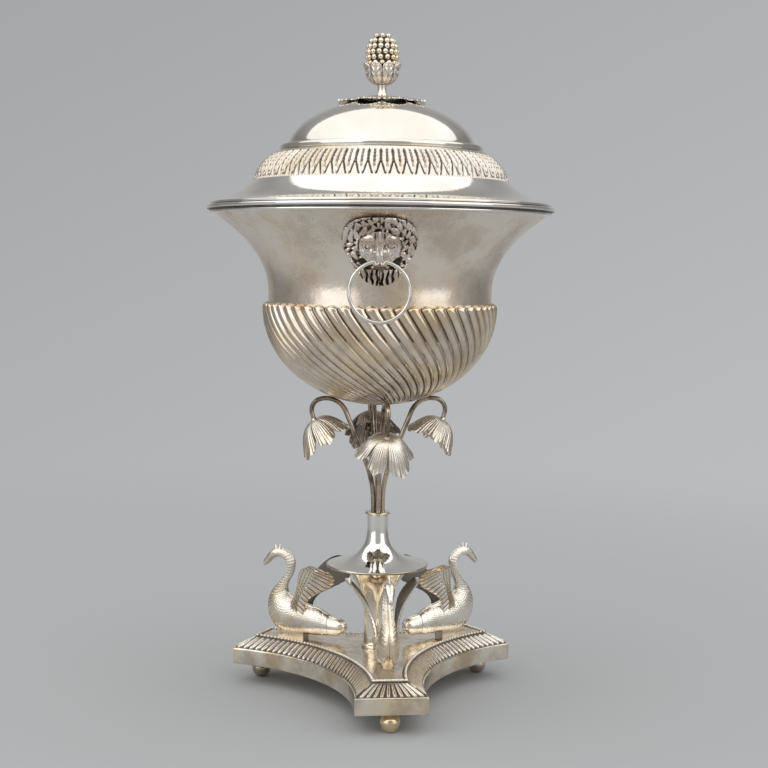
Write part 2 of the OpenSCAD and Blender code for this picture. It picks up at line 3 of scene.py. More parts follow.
import bmesh
import bpy
import numpy as np
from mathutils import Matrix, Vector


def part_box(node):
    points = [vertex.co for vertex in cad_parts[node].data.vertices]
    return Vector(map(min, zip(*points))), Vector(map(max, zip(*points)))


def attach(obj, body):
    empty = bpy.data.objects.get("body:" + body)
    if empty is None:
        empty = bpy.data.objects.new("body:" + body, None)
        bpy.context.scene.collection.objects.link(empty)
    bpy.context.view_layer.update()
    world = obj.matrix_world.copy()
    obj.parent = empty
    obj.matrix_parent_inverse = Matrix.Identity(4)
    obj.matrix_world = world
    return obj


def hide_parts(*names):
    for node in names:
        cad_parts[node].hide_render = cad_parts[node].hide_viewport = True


# Looks of the covered silver sugar bowl. Every piece is worked out in millimetres
# with +Z up, in the part's own frame, and becomes metres as its mesh is made.
# A shape is a tuple: points, quads, triangles, and each point's place in the
# relief, from 0 at the bottom of a hollow to 1 on a worn crest.

MM = 0.001
TAU = 2 * math.pi

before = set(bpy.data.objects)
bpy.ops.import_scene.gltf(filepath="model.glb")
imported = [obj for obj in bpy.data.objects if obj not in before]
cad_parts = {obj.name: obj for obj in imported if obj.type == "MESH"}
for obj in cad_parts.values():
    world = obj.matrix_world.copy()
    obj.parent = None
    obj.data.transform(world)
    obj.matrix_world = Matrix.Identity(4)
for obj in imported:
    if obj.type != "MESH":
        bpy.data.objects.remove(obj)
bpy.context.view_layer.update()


def corners(node):
    """Lowest and highest corner of a CAD node, in millimetres."""
    low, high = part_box(node)
    return np.array(low) / MM, np.array(high) / MM


def radius(node):
    """Largest radius of a turned CAD node about the upright axis."""
    return corners(node)[1][0]


def foot_and_top(node):
    """Lowest and highest Z of a CAD node."""
    low, high = corners(node)
    return low[2], high[2]


# ---- sizes, from the CAD nodes where a box gives them ----

# Base: straight arm ends, concave sides, sloping border
ARM_LENGTH = 59.3
ARM_END_W = 28.0
SIDE_RADIUS = 76.0
BORDER_W = 8.2
STAND_TURN = 6.0
FOOT_Z, DECK_Z = foot_and_top("base_shell")
WALL_TOP_Z = foot_and_top("leaf_border")[0]
ARM_DIRECTIONS = {"front": STAND_TURN - 90, "right": STAND_TURN + 30, "left": STAND_TURN + 150}

# Stand
SWAN_X = 38.0
SWAN_Z = foot_and_top("swan_front_lug")[1]
COLUMN_R = 5.3
COLUMN_FLARE_Z = 11.0
COLUMN_TOP_R = radius("column")
PLATE_R = radius("plate_disc")
PLATE_Z, PEDESTAL_Z = foot_and_top("plate_disc")
COLLAR_Z, PLUG_TOP_Z = foot_and_top("pedestal_collar")
PEDESTAL_NECK_R = 4.2

# Stems: rise, gentle bend, slant, arch, tight bend, drop
STEM_TURN = 8.0
STEM_R = 1.0
STEM_OFF = 1.85
STEM_DIRECTIONS = {
    "front": STEM_TURN - 90, "right": STEM_TURN, "back": STEM_TURN + 90, "left": STEM_TURN + 180
}
FLOWER_R = 9.6
FLOWER_H = 13.0
FLOWER_LEAN = 33.0
STEM_DROP = 2.6
FRONT_STEM_DROP = STEM_DROP + 4.6

# Bowl
CUP_R = radius("bowl_cup")
CUP_FOOT_Z, NECK_FOOT_Z = foot_and_top("bowl_cup")
CUP_Z = NECK_FOOT_Z - 0.5
CUP_H = CUP_Z - CUP_FOOT_Z
NECK_R = CUP_R - 2.4
NECK_FLARE = 20.8
NECK_WAIST = 5.5
SHEET = 1.0
RIM_Z, RIM_TOP_Z = foot_and_top("rim_moulding")
NECK_H = RIM_Z - NECK_FOOT_Z
RIM_R = radius("rim_moulding")
RIM_IN_R = NECK_R + NECK_FLARE - SHEET

# Masks and rings
MASK_W = 28.4
MASK_H = 24.8
MASK_MID_Z = RIM_TOP_Z - 5.8 - 24.5 / 2
RING_FOOT_Z, RING_TOP_Z = foot_and_top("ring_front")
RING_Y = -(corners("ring_front")[0][1] + corners("ring_front")[1][1]) / 2
RING_WIRE_R = (corners("ring_front")[1][1] - corners("ring_front")[0][1]) / 2
RING_R = radius("ring_front") - RING_WIRE_R
HINGE_Z = RING_TOP_Z - RING_WIRE_R

# Lid
LID_Z, DOME_TOP_Z = foot_and_top("lid_cover")
LID_R = radius("lid_cover")
LID_SHEET = 0.9
BAND_Z, BAND_TOP_Z = foot_and_top("lid_leaf_band")
BAND_R = radius("lid_leaf_band")
BAND_IN = 9.0
BAND_SWELL = 1.3
WIRE_R = (foot_and_top("lid_wire")[1] - foot_and_top("lid_wire")[0]) / 2
DOME_R = radius("lid_wire") - 2 * WIRE_R
DOME_Z = BAND_TOP_Z - 0.6
BEZEL_R = radius("lid_bezel")
BEZEL_Z = foot_and_top("lid_bezel")[0]
ROSETTE_R = radius("lid_rosette") + 1.2
FINIAL_Z = foot_and_top("finial_calyx")[0]
FINIAL_STEM_R = 1.7
CALYX_R = radius("finial_calyx")
CALYX_TOP_Z = foot_and_top("finial_calyx")[1]
CALYX_Z = FINIAL_Z + 4.2
BERRY_R = radius("finial_berry")
BERRY_Z, BERRY_TOP_Z = foot_and_top("finial_berry")


# ---- shapes ----


def skin(grid, relief=1.0, ring=False, loop=False, ends=(False, False)):
    """A surface through a grid of points, rows by columns. ring joins the last column
    to the first, loop the last row to the first, and an end is closed by a fan of
    triangles to the middle of its row."""
    rows, cols = grid.shape[:2]
    points = grid.reshape(-1, 3)
    height = np.broadcast_to(relief, (rows, cols)).ravel()
    i = np.arange(rows if loop else rows - 1)[:, None]
    j = np.arange(cols if ring else cols - 1)[None, :]
    below, beside = (i + 1) % rows, (j + 1) % cols
    quads = [i * cols + j, i * cols + beside, below * cols + beside, below * cols + j]
    tris = [np.zeros((0, 3), int)]
    for closed, row in zip(ends, (0, rows - 1)):
        if closed:
            edge = row * cols + np.arange(cols)
            tris.append(np.stack([edge, np.roll(edge, -1), np.full(cols, len(points))], -1))
            points = np.vstack([points, grid[row].mean(0)])
            height = np.append(height, height[edge].mean())
    return points, np.stack(quads, -1).reshape(-1, 4), np.vstack(tris), height


def merge(*shapes):
    """Several shapes as one."""
    starts = np.cumsum([0] + [len(s[0]) for s in shapes[:-1]])
    return (
        np.vstack([s[0] for s in shapes]),
        np.vstack([s[1] + k for s, k in zip(shapes, starts)]),
        np.vstack([s[2] + k for s, k in zip(shapes, starts)]),
        np.concatenate([s[3] for s in shapes]),
    )


def scatter(shape, frames, places):
    """One copy of a shape for each place: its points are turned and scaled by that
    place's 3 by 3 frame and then moved there."""
    points, quads, tris, height = shape
    count = len(places)
    step = (np.arange(count) * len(points))[:, None, None]
    moved = np.einsum("mij,nj->mni", frames, points) + places[:, None]
    return (
        moved.reshape(-1, 3),
        (quads + step).reshape(-1, 4),
        (tris + step).reshape(-1, 3),
        np.tile(height, count),
    )


def turned_about_z(shape, degrees, at=(0, 0, 0)):
    """A shape turned about the upright axis and then moved."""
    a = math.radians(degrees)
    spin = np.array([[math.cos(a), -math.sin(a), 0], [math.sin(a), math.cos(a), 0], [0, 0, 1]])
    return (shape[0] @ spin.T + np.array(at), *shape[1:])


def arc(centre, r, start, end, steps=12):
    """Points on a circular arc between two angles in degrees."""
    a = np.radians(np.linspace(start, end, steps))
    return np.stack([centre[0] + r * np.cos(a), centre[1] + r * np.sin(a)], -1)


def soften(outline, cut=0.3, steps=5):
    """A closed outline whose corners become parabolas. Each starts and ends "cut" from
    its corner, or nearly half a side away where the side is short."""
    outline = np.asarray(outline, float)
    t = np.linspace(0, 1, steps)[None, :, None]

    def cut_point(side):
        length = np.linalg.norm(side, axis=1, keepdims=True)
        return (outline + side / length * np.minimum(cut, 0.45 * length))[:, None]

    start = cut_point(np.roll(outline, 1, 0) - outline)
    end = cut_point(np.roll(outline, -1, 0) - outline)
    curve = (1 - t) ** 2 * start + 2 * t * (1 - t) * outline[:, None] + t**2 * end
    return curve.reshape(-1, 2)


def turn(profile, steps=192, relief=1.0, open_at_axis=False):
    """Surface of revolution: each [radius, height] of the profile goes round the
    upright axis. The profile is a closed loop, or starts and ends at the axis."""
    a = np.linspace(0, TAU, steps, endpoint=False)
    r, z = profile[:, 0, None], profile[:, 1, None]
    grid = np.stack([r * np.cos(a), r * np.sin(a), np.broadcast_to(z, (len(r), steps))], -1)
    return skin(grid, relief, ring=True, loop=not open_at_axis, ends=(open_at_axis, open_at_axis))


def smooth_through(rows, steps):
    """Catmull-Rom curve through every row of numbers, "steps" points to a span."""
    rows = np.asarray(rows, float)
    p = np.vstack([2 * rows[0] - rows[1], rows, 2 * rows[-1] - rows[-2]])
    t = np.linspace(0, 1, steps, endpoint=False)[None, :, None]
    a, b, c, d = (p[k : len(p) - 3 + k][:, None] for k in range(4))
    curve = b + 0.5 * t * (c - a + t * (2 * a - 5 * b + 4 * c - d + t * (3 * b - a - 3 * c + d)))
    return np.vstack([curve.reshape(-1, p.shape[1]), rows[-1]])


def ball(around=10, up=7):
    """A unit ball of a few dozen faces, for beads."""
    lift = np.radians(np.linspace(-75, 75, up))
    a = np.linspace(0, TAU, around, endpoint=False)
    out, up_z = np.cos(lift)[:, None], np.sin(lift)[:, None]
    grid = np.stack([out * np.cos(a), out * np.sin(a), up_z + 0 * a], -1)
    return skin(grid, 1.0, ring=True, ends=(True, True))


def beads(places, r):
    """A ball of radius r at each place."""
    frames = np.eye(3) * np.broadcast_to(r, len(places))[:, None, None]
    return scatter(ball(), frames, places)


# ---- patterns: heights from 0 to 1 ----


def cushion(offset, half_width):
    """Half a ball's section across a strip: 1 in its middle, 0 at and beyond its edges."""
    return np.sqrt(np.clip(1 - (offset / np.maximum(half_width, 1e-3)) ** 2, 0, 1))


def scales(along, across):
    """Round-ended scales one long and one wide, in staggered rows. Height rises from a
    scale's root to its edge, and drops there to the scale below."""
    row = np.floor(along)

    def edge(i):
        off = (across + 0.5 * (i % 2)) % 1 - 0.5
        return 0.4 + 0.75 * np.sqrt(np.clip(1 - 4 * off**2, 0, 1))

    since = along - (row - 1)
    over = since < edge(row - 1)
    length = np.where(over, edge(row - 1), edge(row))
    return np.clip(np.where(over, since, since - 1) / length, 0, 1)


def leaf_and_dart(c, v):
    """Height of a leaf at c from -1 to 1 across and v from its tip to its root: two
    cushions with slanting veins beside a rib, and a small dart between its tip and the
    next leaf's."""
    half = 0.12 + 0.78 * np.clip(v / 0.5, 0, 1) ** 0.8
    veins = 0.84 + 0.16 * np.cos(TAU * (6 * v - 2 * np.abs(c)))
    blade = cushion(np.abs(c) - 0.54 * half, 0.44 * half) ** 0.9 * veins
    rib = 0.8 * cushion(c, 0.07)
    dart = 0.85 * cushion(1 - np.abs(c), np.maximum(0.84 - half, 0.001)) ** 0.7 * (v < 0.5)
    eye = np.exp(-(((1 - np.abs(c)) / 0.16) ** 2) - ((v - 0.84) / 0.09) ** 2)
    return np.clip(np.maximum(np.maximum(blade, rib), dart) - eye, 0, 1)


def worn(height, reach, gain):
    """Relief from a grid of heights whose columns close in a ring: over 0.6 where a
    point stands above the mean of its neighbours "reach" away, and under it where it
    lies below them."""
    tall = np.pad(height, ((reach, reach), (0, 0)), mode="edge")
    around = [tall[: -2 * reach], tall[2 * reach :], np.roll(height, reach, 1), np.roll(height, -reach, 1)]
    return np.clip(0.6 + gain * (height - np.mean(around, axis=0)), 0, 1)


# ---- the base ----

CORNER_R = math.hypot(ARM_LENGTH, ARM_END_W / 2)
CORNER_A = math.radians(60) - math.atan2(ARM_END_W / 2, ARM_LENGTH)
SIDE_C = CORNER_R * math.cos(CORNER_A) + math.sqrt(SIDE_RADIUS**2 - (CORNER_R * math.sin(CORNER_A)) ** 2)
PLAN_STEPS = (72, 16)
BEND_STEPS = 5


def base_outline(inset, side_steps, end_steps, cut=0.5):
    """The base's plan, moved in by inset: three concave arcs joined by straight arm
    ends, with each corner a small parabola. Returns points in order round the base."""
    r = SIDE_RADIUS + inset
    half = math.acos((SIDE_C / 2 - ARM_LENGTH + inset) / r) - math.radians(60)
    third = np.array([[math.cos(TAU / 3), -math.sin(TAU / 3)], [math.sin(TAU / 3), math.cos(TAU / 3)]])

    def on_side(t):
        return np.stack([SIDE_C - r * np.cos(t), -r * np.sin(t)], -1)

    def bend(start, corner, end):
        t = np.linspace(0, 1, BEND_STEPS + 2)[1:-1, None]
        return (1 - t) ** 2 * start + 2 * t * (1 - t) * corner + t**2 * end

    side = on_side(np.linspace(half - cut / r, cut / r - half, side_steps + 1))
    first, last = on_side(-half), on_side(half) @ third.T
    share = cut / np.linalg.norm(last - first)
    end = first + np.linspace(share, 1 - share, end_steps + 1)[:, None] * (last - first)
    arm = np.vstack([side, bend(side[-1], first, end[0]), end, bend(end[-1], last, side[0] @ third.T)])
    outline = []
    for name in ("front", "right", "left"):
        a = math.radians(ARM_DIRECTIONS[name] + 60)
        spin = np.array([[math.cos(a), -math.sin(a)], [math.sin(a), math.cos(a)]])
        outline.append(arm @ spin.T)
    return np.vstack(outline)


def level(outline, z):
    """A plan's points at one height."""
    return np.column_stack([outline, np.full(len(outline), z)])


def base_tray():
    """The wall and the deck: a profile of [inset, height] carried round the base's
    plan, closed over the deck and under the wall by rings that shrink to the middle."""
    wall_w, lip_w, lip_h = 1.2, 0.9, 1.2
    wall = soften([
        [wall_w, FOOT_Z], [0, FOOT_Z], [0, WALL_TOP_Z],
        [lip_w, WALL_TOP_Z], [lip_w, WALL_TOP_Z - lip_h], [wall_w, WALL_TOP_Z - lip_h],
    ], 0.7)
    rings = np.stack([level(base_outline(i, *PLAN_STEPS), z) for i, z in wall])
    wall_skin = skin(rings, 1.0, ring=True, loop=True)
    edge = [
        [BORDER_W + 0.1, DECK_Z - 3.0], [BORDER_W, DECK_Z - 0.25],
        [BORDER_W + 0.25, DECK_Z], [BORDER_W + 0.8, DECK_Z],
    ]
    loops = [level(base_outline(i, *PLAN_STEPS), z) for i, z in edge]
    shrink = np.linspace(0.93, 0.06, 9)
    top = [loops[-1] * [s, s, 1] for s in shrink]
    under = [loops[0] * [s, s, 1] for s in shrink[::-1]]
    return merge(wall_skin, skin(np.stack([*under, *loops, *top]), 1.0, ring=True, ends=(True, True)))


def border_leaves():
    """The sloping border: a strip that rises inwards, with leaves in relief, a row of
    beads along its inner edge and a flat back. A leaf is a cushion whose tip narrows
    towards the wall. Along the sides the leaves slant, away from the front arm on both
    of its sides; on the arm ends they stand straight and have a rib."""
    side_leaves, end_leaves, samples = 34, 10, 20
    inner = 6.2
    leans = (-1.1, 1.1, 1.1)
    side, end = side_leaves * samples, end_leaves * samples
    bend = np.zeros(BEND_STEPS)
    phase = np.concatenate([np.arange(side + 1) / samples, bend, np.arange(end + 1) / samples, bend])
    phase = np.tile(phase, 3)
    on_side = np.concatenate([np.ones(side + 1), bend, np.zeros(end + 1), bend])
    slant = np.concatenate([lean * on_side for lean in leans])
    v = np.linspace(0, 1, 20)[:, None]
    c = 2 * ((phase + slant * v) % 1) - 1
    half = 0.34 + 0.46 * np.clip(v / 0.30, 0, 1) ** 0.7
    on_end = np.tile(np.concatenate([np.zeros(side + 1 + BEND_STEPS), np.ones(end + 1 + BEND_STEPS)]), 3)
    blade = cushion(c, half) * (1 - 0.6 * on_end * np.exp(-((c / 0.14) ** 2)))
    relief = np.where((v > 0.03) & (v < 0.97), blade, 0.25)
    outlines = np.stack([base_outline(0.5 + inner * share, side, end) for share in v[:, 0]])
    rise = (DECK_Z - WALL_TOP_Z - 1.3) * (0.85 * v + 0.15 * np.sin(0.5 * math.pi * v))
    front = np.dstack([outlines, WALL_TOP_Z - 0.2 + rise + 1.1 * relief])
    back = np.stack([level(outlines[-1], WALL_TOP_Z - 0.4), level(outlines[0], WALL_TOP_Z - 0.4)])
    strip = skin(np.vstack([front, back]), np.vstack([relief, 0 * relief[:2]]), ring=True, loop=True)
    bead_row = beads(level(base_outline(inner + 1.0, 50, 12), DECK_Z + 0.25), 0.66)
    near, far, foot = inner + 0.2, BORDER_W + 0.4, DECK_Z - 2.6
    ledge = soften([[near, foot], [far, foot], [far, DECK_Z - 0.4], [near, DECK_Z - 0.6]], 0.2, 3)
    ledge_rings = np.stack([level(base_outline(i, *PLAN_STEPS), z) for i, z in ledge])
    return merge(strip, bead_row, skin(ledge_rings, 0.15, ring=True, loop=True))


def ball_foot():
    """A ball cut flat where it stands, with a short neck, at the middle of its arm's end."""
    r, flat = 3.9, 1.4
    middle = math.sqrt(r**2 - flat**2)
    start = math.degrees(math.asin(-middle / r))
    side = arc((0, middle), r, start, 52, 20)
    axis_r, neck_r = 0.2, 2.3
    profile = np.vstack([[axis_r, 0], side, [neck_r, FOOT_Z], [axis_r, FOOT_Z]])
    return turn(profile, 48, open_at_axis=True)


# ---- the swans, drawn in the plane of an arm with X outwards ----


def swan_body():
    """A loft: each rib is an oval between a lower and an upper point of the side view,
    with its own half width. Scales are raised on the flanks and fade towards the seam
    along the middle plane, the neck, the head and the smooth cap of the tail. Two small
    balls are the eyes, and three cones the crest."""
    lower_x, lower_z, upper_x, upper_z, width = range(5)
    ribs = [
        [-24.5, 3.2, -24.6, 4.2, 0.6], [-23.8, 1.8, -24, 5.5, 1.8], [-22.4, 0.3, -22.7, 6.8, 2.7],
        [-20.2, -0.3, -20.6, 7.4, 3.2],
        [-17, -0.4, -17.2, 7.9, 3.3], [-16.2, -0.5, -16, 8.5, 3.2], [-11, -0.9, -11.6, 10.7, 3.9],
        [-5, -1.1, -7, 11.8, 4.4], [0, -1.3, -3, 13.2, 4.7], [4.5, -0.8, -1, 14.1, 4.8],
        [8.6, 1.6, 0.2, 14.5, 4.6], [11.2, 5.7, 1.2, 14.9, 4.2], [11.9, 10.2, 2, 15.5, 3.6],
        [11.1, 14, 2.6, 16.6, 3.0], [9.2, 17.3, 2.8, 18.3, 2.5], [6.6, 20.1, 2.2, 20.4, 2.1],
        [4.4, 23, 0.9, 22.8, 1.8], [3.5, 25.7, -0.2, 25.5, 1.65], [3.7, 28, -0.6, 28.9, 1.55],
        [4.8, 29.7, 0.9, 31.8, 1.5], [6.5, 30.4, 3.6, 33.5, 1.55], [8.2, 30.2, 6.8, 34.1, 1.85],
        [9.7, 29.2, 9.7, 33.5, 2.05], [11, 28, 11.9, 31.7, 1.7], [12.2, 27, 13, 30.1, 1.3],
        [13.2, 26.4, 14, 28.8, 1.05], [14, 26.2, 14.5, 27.6, 0.6],
    ]
    rib = smooth_through(ribs, 12)
    around = np.linspace(0, TAU, 160, endpoint=False)[None, :]
    across, up = np.cos(around), np.sin(around)
    middle = (rib[:, [lower_x, lower_z]] + rib[:, [upper_x, upper_z]]) / 2
    tall = (rib[:, [upper_x, upper_z]] - rib[:, [lower_x, lower_z]]) / 2
    travelled = np.concatenate([[0], np.cumsum(np.linalg.norm(np.diff(middle, axis=0), axis=1))])[:, None]
    girth = np.linalg.norm(tall, axis=1)[:, None] + rib[:, width, None]
    tail_end, neck_end = 9, 66
    scale_length, scales_per_side, scale_height = 1.2, 20, 0.20
    mid_x = middle[:, 0, None]
    feathered = np.clip(travelled - tail_end, 0, 1) * np.clip((neck_end - travelled) / 16, 0, 1)
    feathered = feathered * np.clip((np.abs(across) - 0.25) / 0.3, 0, 1)
    plume = scales(-travelled / scale_length, scales_per_side * np.arcsin(across) / math.pi)
    seam = np.exp(-((across / 0.045) ** 2)) * (travelled < neck_end)
    eye_socket = np.exp(-(((mid_x - 9.2) / 0.9) ** 2) - ((up - 0.1) / 0.35) ** 2) * (travelled > 55)
    lift = scale_height * feathered * (plume - 0.5) - 0.22 * seam - 0.15 * eye_socket
    grow = 1 + lift / (0.5 * girth)
    x = mid_x + tall[:, 0, None] * up * grow
    z = middle[:, 1, None] + tall[:, 1, None] * up * grow
    y = rib[:, width, None] * across * grow
    joint = np.exp(-(((mid_x + 16.6) / 0.3) ** 2)) * (travelled < 12)
    relief = (1 - 0.75 * feathered * (1 - plume)) * (1 - 0.9 * seam) * (1 - 0.8 * eye_socket)
    relief = relief * (1 - 0.8 * joint)
    body = skin(np.stack([x, y, z], -1), relief, ring=True, ends=(True, True))
    eye = beads(np.array([[9.4, 1.8, 32.0], [9.4, -1.8, 32.0]]), 0.45)
    share = np.linspace(0, 1, 8)[:, None]
    ring_a = np.linspace(0, TAU, 12, endpoint=False)
    thick = 0.75 * (1 - share) ** 0.6 + 0.08
    crest = []
    for root, tip in (((6.9, 33.4), (6.6, 36.0)), ((8.4, 33.6), (8.7, 35.6)), ((5.4, 33.0), (4.6, 34.6))):
        cone_x = root[0] + (tip[0] - root[0]) * share + thick * np.cos(ring_a)
        cone_z = root[1] + (tip[1] - root[1]) * share + 0 * ring_a
        cone = np.stack([cone_x, 0.8 * thick * np.sin(ring_a), cone_z], -1)
        crest.append(skin(cone, 0.8, ring=True, ends=(True, True)))
    return merge(body, eye, *crest)


def swan_wing(side):
    """A curved plate between a leading and a trailing edge, root to tip, with v along
    it and t across. It leans outwards by a power of its height; its outer face has
    scales in front and quills behind them, which scallop the upper trailing edge."""
    lead = [[1.4, 8.5], [-0.4, 13.4], [-2.2, 17.4], [-3.2, 21.4], [-4, 25.6], [-5.7, 29], [-9.6, 30.8]]
    trail = [[-7, 7.5], [-7.2, 12], [-9.4, 15.4], [-14, 18.4], [-18.6, 21.6], [-19.8, 25.6], [-17, 29.4]]
    lead, trail = smooth_through(lead, 16)[:, None], smooth_through(trail, 16)[:, None]
    t = np.linspace(0, 1, 96)[None, :]
    v = np.linspace(0, 1, len(lead))[:, None]
    quills = 13
    scallop = 0.5 * np.abs(np.sin(quills * math.pi * v)) * t**6 * np.clip((v - 0.35) / 0.2, 0, 1)
    flat = lead * (1 - t[..., None]) + trail * t[..., None]
    flat[..., 0] -= scallop
    covert = scales(t * 11, v * 16)
    shaft = (quills * (v + 0.10 * t * t)) % 1
    quill = cushion(shaft - 0.5, 0.42) ** 0.8 * (1 - 0.3 * np.exp(-(((shaft - 0.55) / 0.08) ** 2)))
    front = np.clip((0.40 + 0.5 * np.clip(0.45 - v, 0, 1) - t) / 0.05, 0, 1)
    relief = front * (0.15 + 0.85 * covert) + (1 - front) * quill
    height = np.clip((flat[..., 1] - 8) / 21, 0, 1)
    stand_off = 3.4 + 9.2 * height**2.5 + 1.2 * np.sin(math.pi * t) * np.clip(2 * v, 0, 1)
    flat[..., 0] -= 0.45 * (stand_off - 3)
    edge_taper = np.minimum(1, 8 * np.minimum(t, 1 - t))
    outer_y = stand_off + (0.25 + 0.7 * relief) * edge_taper
    inner_y = stand_off - 0.35 * edge_taper
    outer = np.stack([flat[..., 0], side * outer_y, flat[..., 1]], -1)
    inner = np.stack([flat[..., 0], side * inner_y, flat[..., 1]], -1)
    both = np.concatenate([outer, inner[:, ::-1]], 1)
    shown = np.concatenate([relief, 0 * relief], 1)
    return skin(both, shown, ring=True, ends=(True, True))


# ---- column, plate and pedestal ----


def column():
    """A straight tube on a small torus, flaring by a power of its height to the plate."""
    u = np.linspace(0, 1, 40)
    flare_z = DECK_Z + COLUMN_FLARE_Z
    outer = np.stack([COLUMN_R + (COLUMN_TOP_R - COLUMN_R) * u**2.8, flare_z + (PLATE_Z - flare_z) * u], -1)
    torus = arc((COLUMN_R + 0.1, DECK_Z + 0.65), 0.75, -70, 80, 8)
    shoulder = [[COLUMN_R + 0.05, DECK_Z + 1.6], [COLUMN_R, DECK_Z + 2.4]]
    inner = outer[::-1] - [SHEET, 0]
    return turn(np.vstack([torus, shoulder, outer, inner, [COLUMN_R - SHEET, DECK_Z]]))


def round_plate():
    """A flat disc with a rounded edge and a hole for the tie rod."""
    hole_r, edge_r = 2.2, 0.5
    edge = arc((PLATE_R - edge_r, PLATE_Z + edge_r), edge_r, -90, 90, 9)
    return turn(np.vstack([[hole_r, PLATE_Z], edge, [hole_r, PEDESTAL_Z]]))


def pedestal():
    """A trumpet: with u from 0 at the plate to 1 at the collar, its radius falls from
    the brim to the neck by the 4.2th power of 1 - u, and its height grows by the 1.15th
    power of u."""
    u = np.linspace(0, 1, 64)
    brim, wall = PLATE_R - 0.6, 0.8
    outer_r = PEDESTAL_NECK_R + (brim - PEDESTAL_NECK_R) * (1 - u) ** 4.2
    outer = np.stack([outer_r, PEDESTAL_Z + (COLLAR_Z - PEDESTAL_Z) * u**1.15], -1)
    inner = outer[::-1] - [wall, 0]
    return turn(np.vstack([outer, inner[:-1], [brim - 3, PEDESTAL_Z]]))


def collar():
    """A tube with a half-round edge, open round the bundled stems."""
    mid = (COLLAR_Z + PLUG_TOP_Z) / 2
    half = (PLUG_TOP_Z - COLLAR_Z) / 2
    bore_r = PEDESTAL_NECK_R - 0.8
    edge = arc((PEDESTAL_NECK_R + 0.25, mid), half, -90, 90, 11)
    return turn(np.vstack([[bore_r, COLLAR_Z], edge, [bore_r, PLUG_TOP_Z]]), 96)


# ---- stems and flowers ----


def stem_route(drop):
    """The stem's line in its own upright plane, each row [radius, height, heading]. The
    heading is 0 straight up, and grows outwards along three arcs; the stem ends in a
    straight drop."""
    bend_r, bend_a, slant, arch_r, arch_a, tip_r, tip_a = 45, 22, 21.8, 8.8, 105, 4.6, 195
    foot_z = foot_and_top("stem_front")[0]
    rise_z = PLUG_TOP_Z + 3.5

    def bend(centre, r, start, end, steps):
        a = np.radians(np.linspace(start, end, steps))
        return np.stack([centre[0] - r * np.cos(a), centre[1] + r * np.sin(a), a], -1)

    def heading(a):
        return np.array([math.sin(math.radians(a)), math.cos(math.radians(a))])

    def aside(a):
        return np.array([math.cos(math.radians(a)), -math.sin(math.radians(a))])

    first = bend((STEM_OFF + bend_r, rise_z), bend_r, 0, bend_a, 10)
    arch_c = first[-1, :2] + slant * heading(bend_a) + arch_r * aside(bend_a)
    arch = bend(arch_c, arch_r, bend_a, arch_a, 16)
    tip = bend(arch[-1, :2] + tip_r * aside(arch_a), tip_r, arch_a, tip_a, 14)
    end = tip[-1, :2] + drop * heading(tip_a)
    return np.vstack([[STEM_OFF, foot_z, 0], first, arch, tip, [*end, math.radians(tip_a)]])


def stem(drop):
    """A round wire along the stem's line. Its radius thins towards the tip."""
    line = stem_route(drop)
    around = np.linspace(0, TAU, 20, endpoint=False)
    share = np.linspace(0, 1, len(line))
    thick = (STEM_R * (1.0 - 0.1 * share))[:, None]
    out = thick * np.cos(around)
    line_x, line_z, heading = line[:, 0, None], line[:, 1, None], line[:, 2, None]
    grid = np.stack([
        line_x + out * np.cos(heading),
        thick * np.sin(around),
        line_z - out * np.sin(heading),
    ], -1)
    return skin(grid, 0.7, ring=True, ends=(True, True))


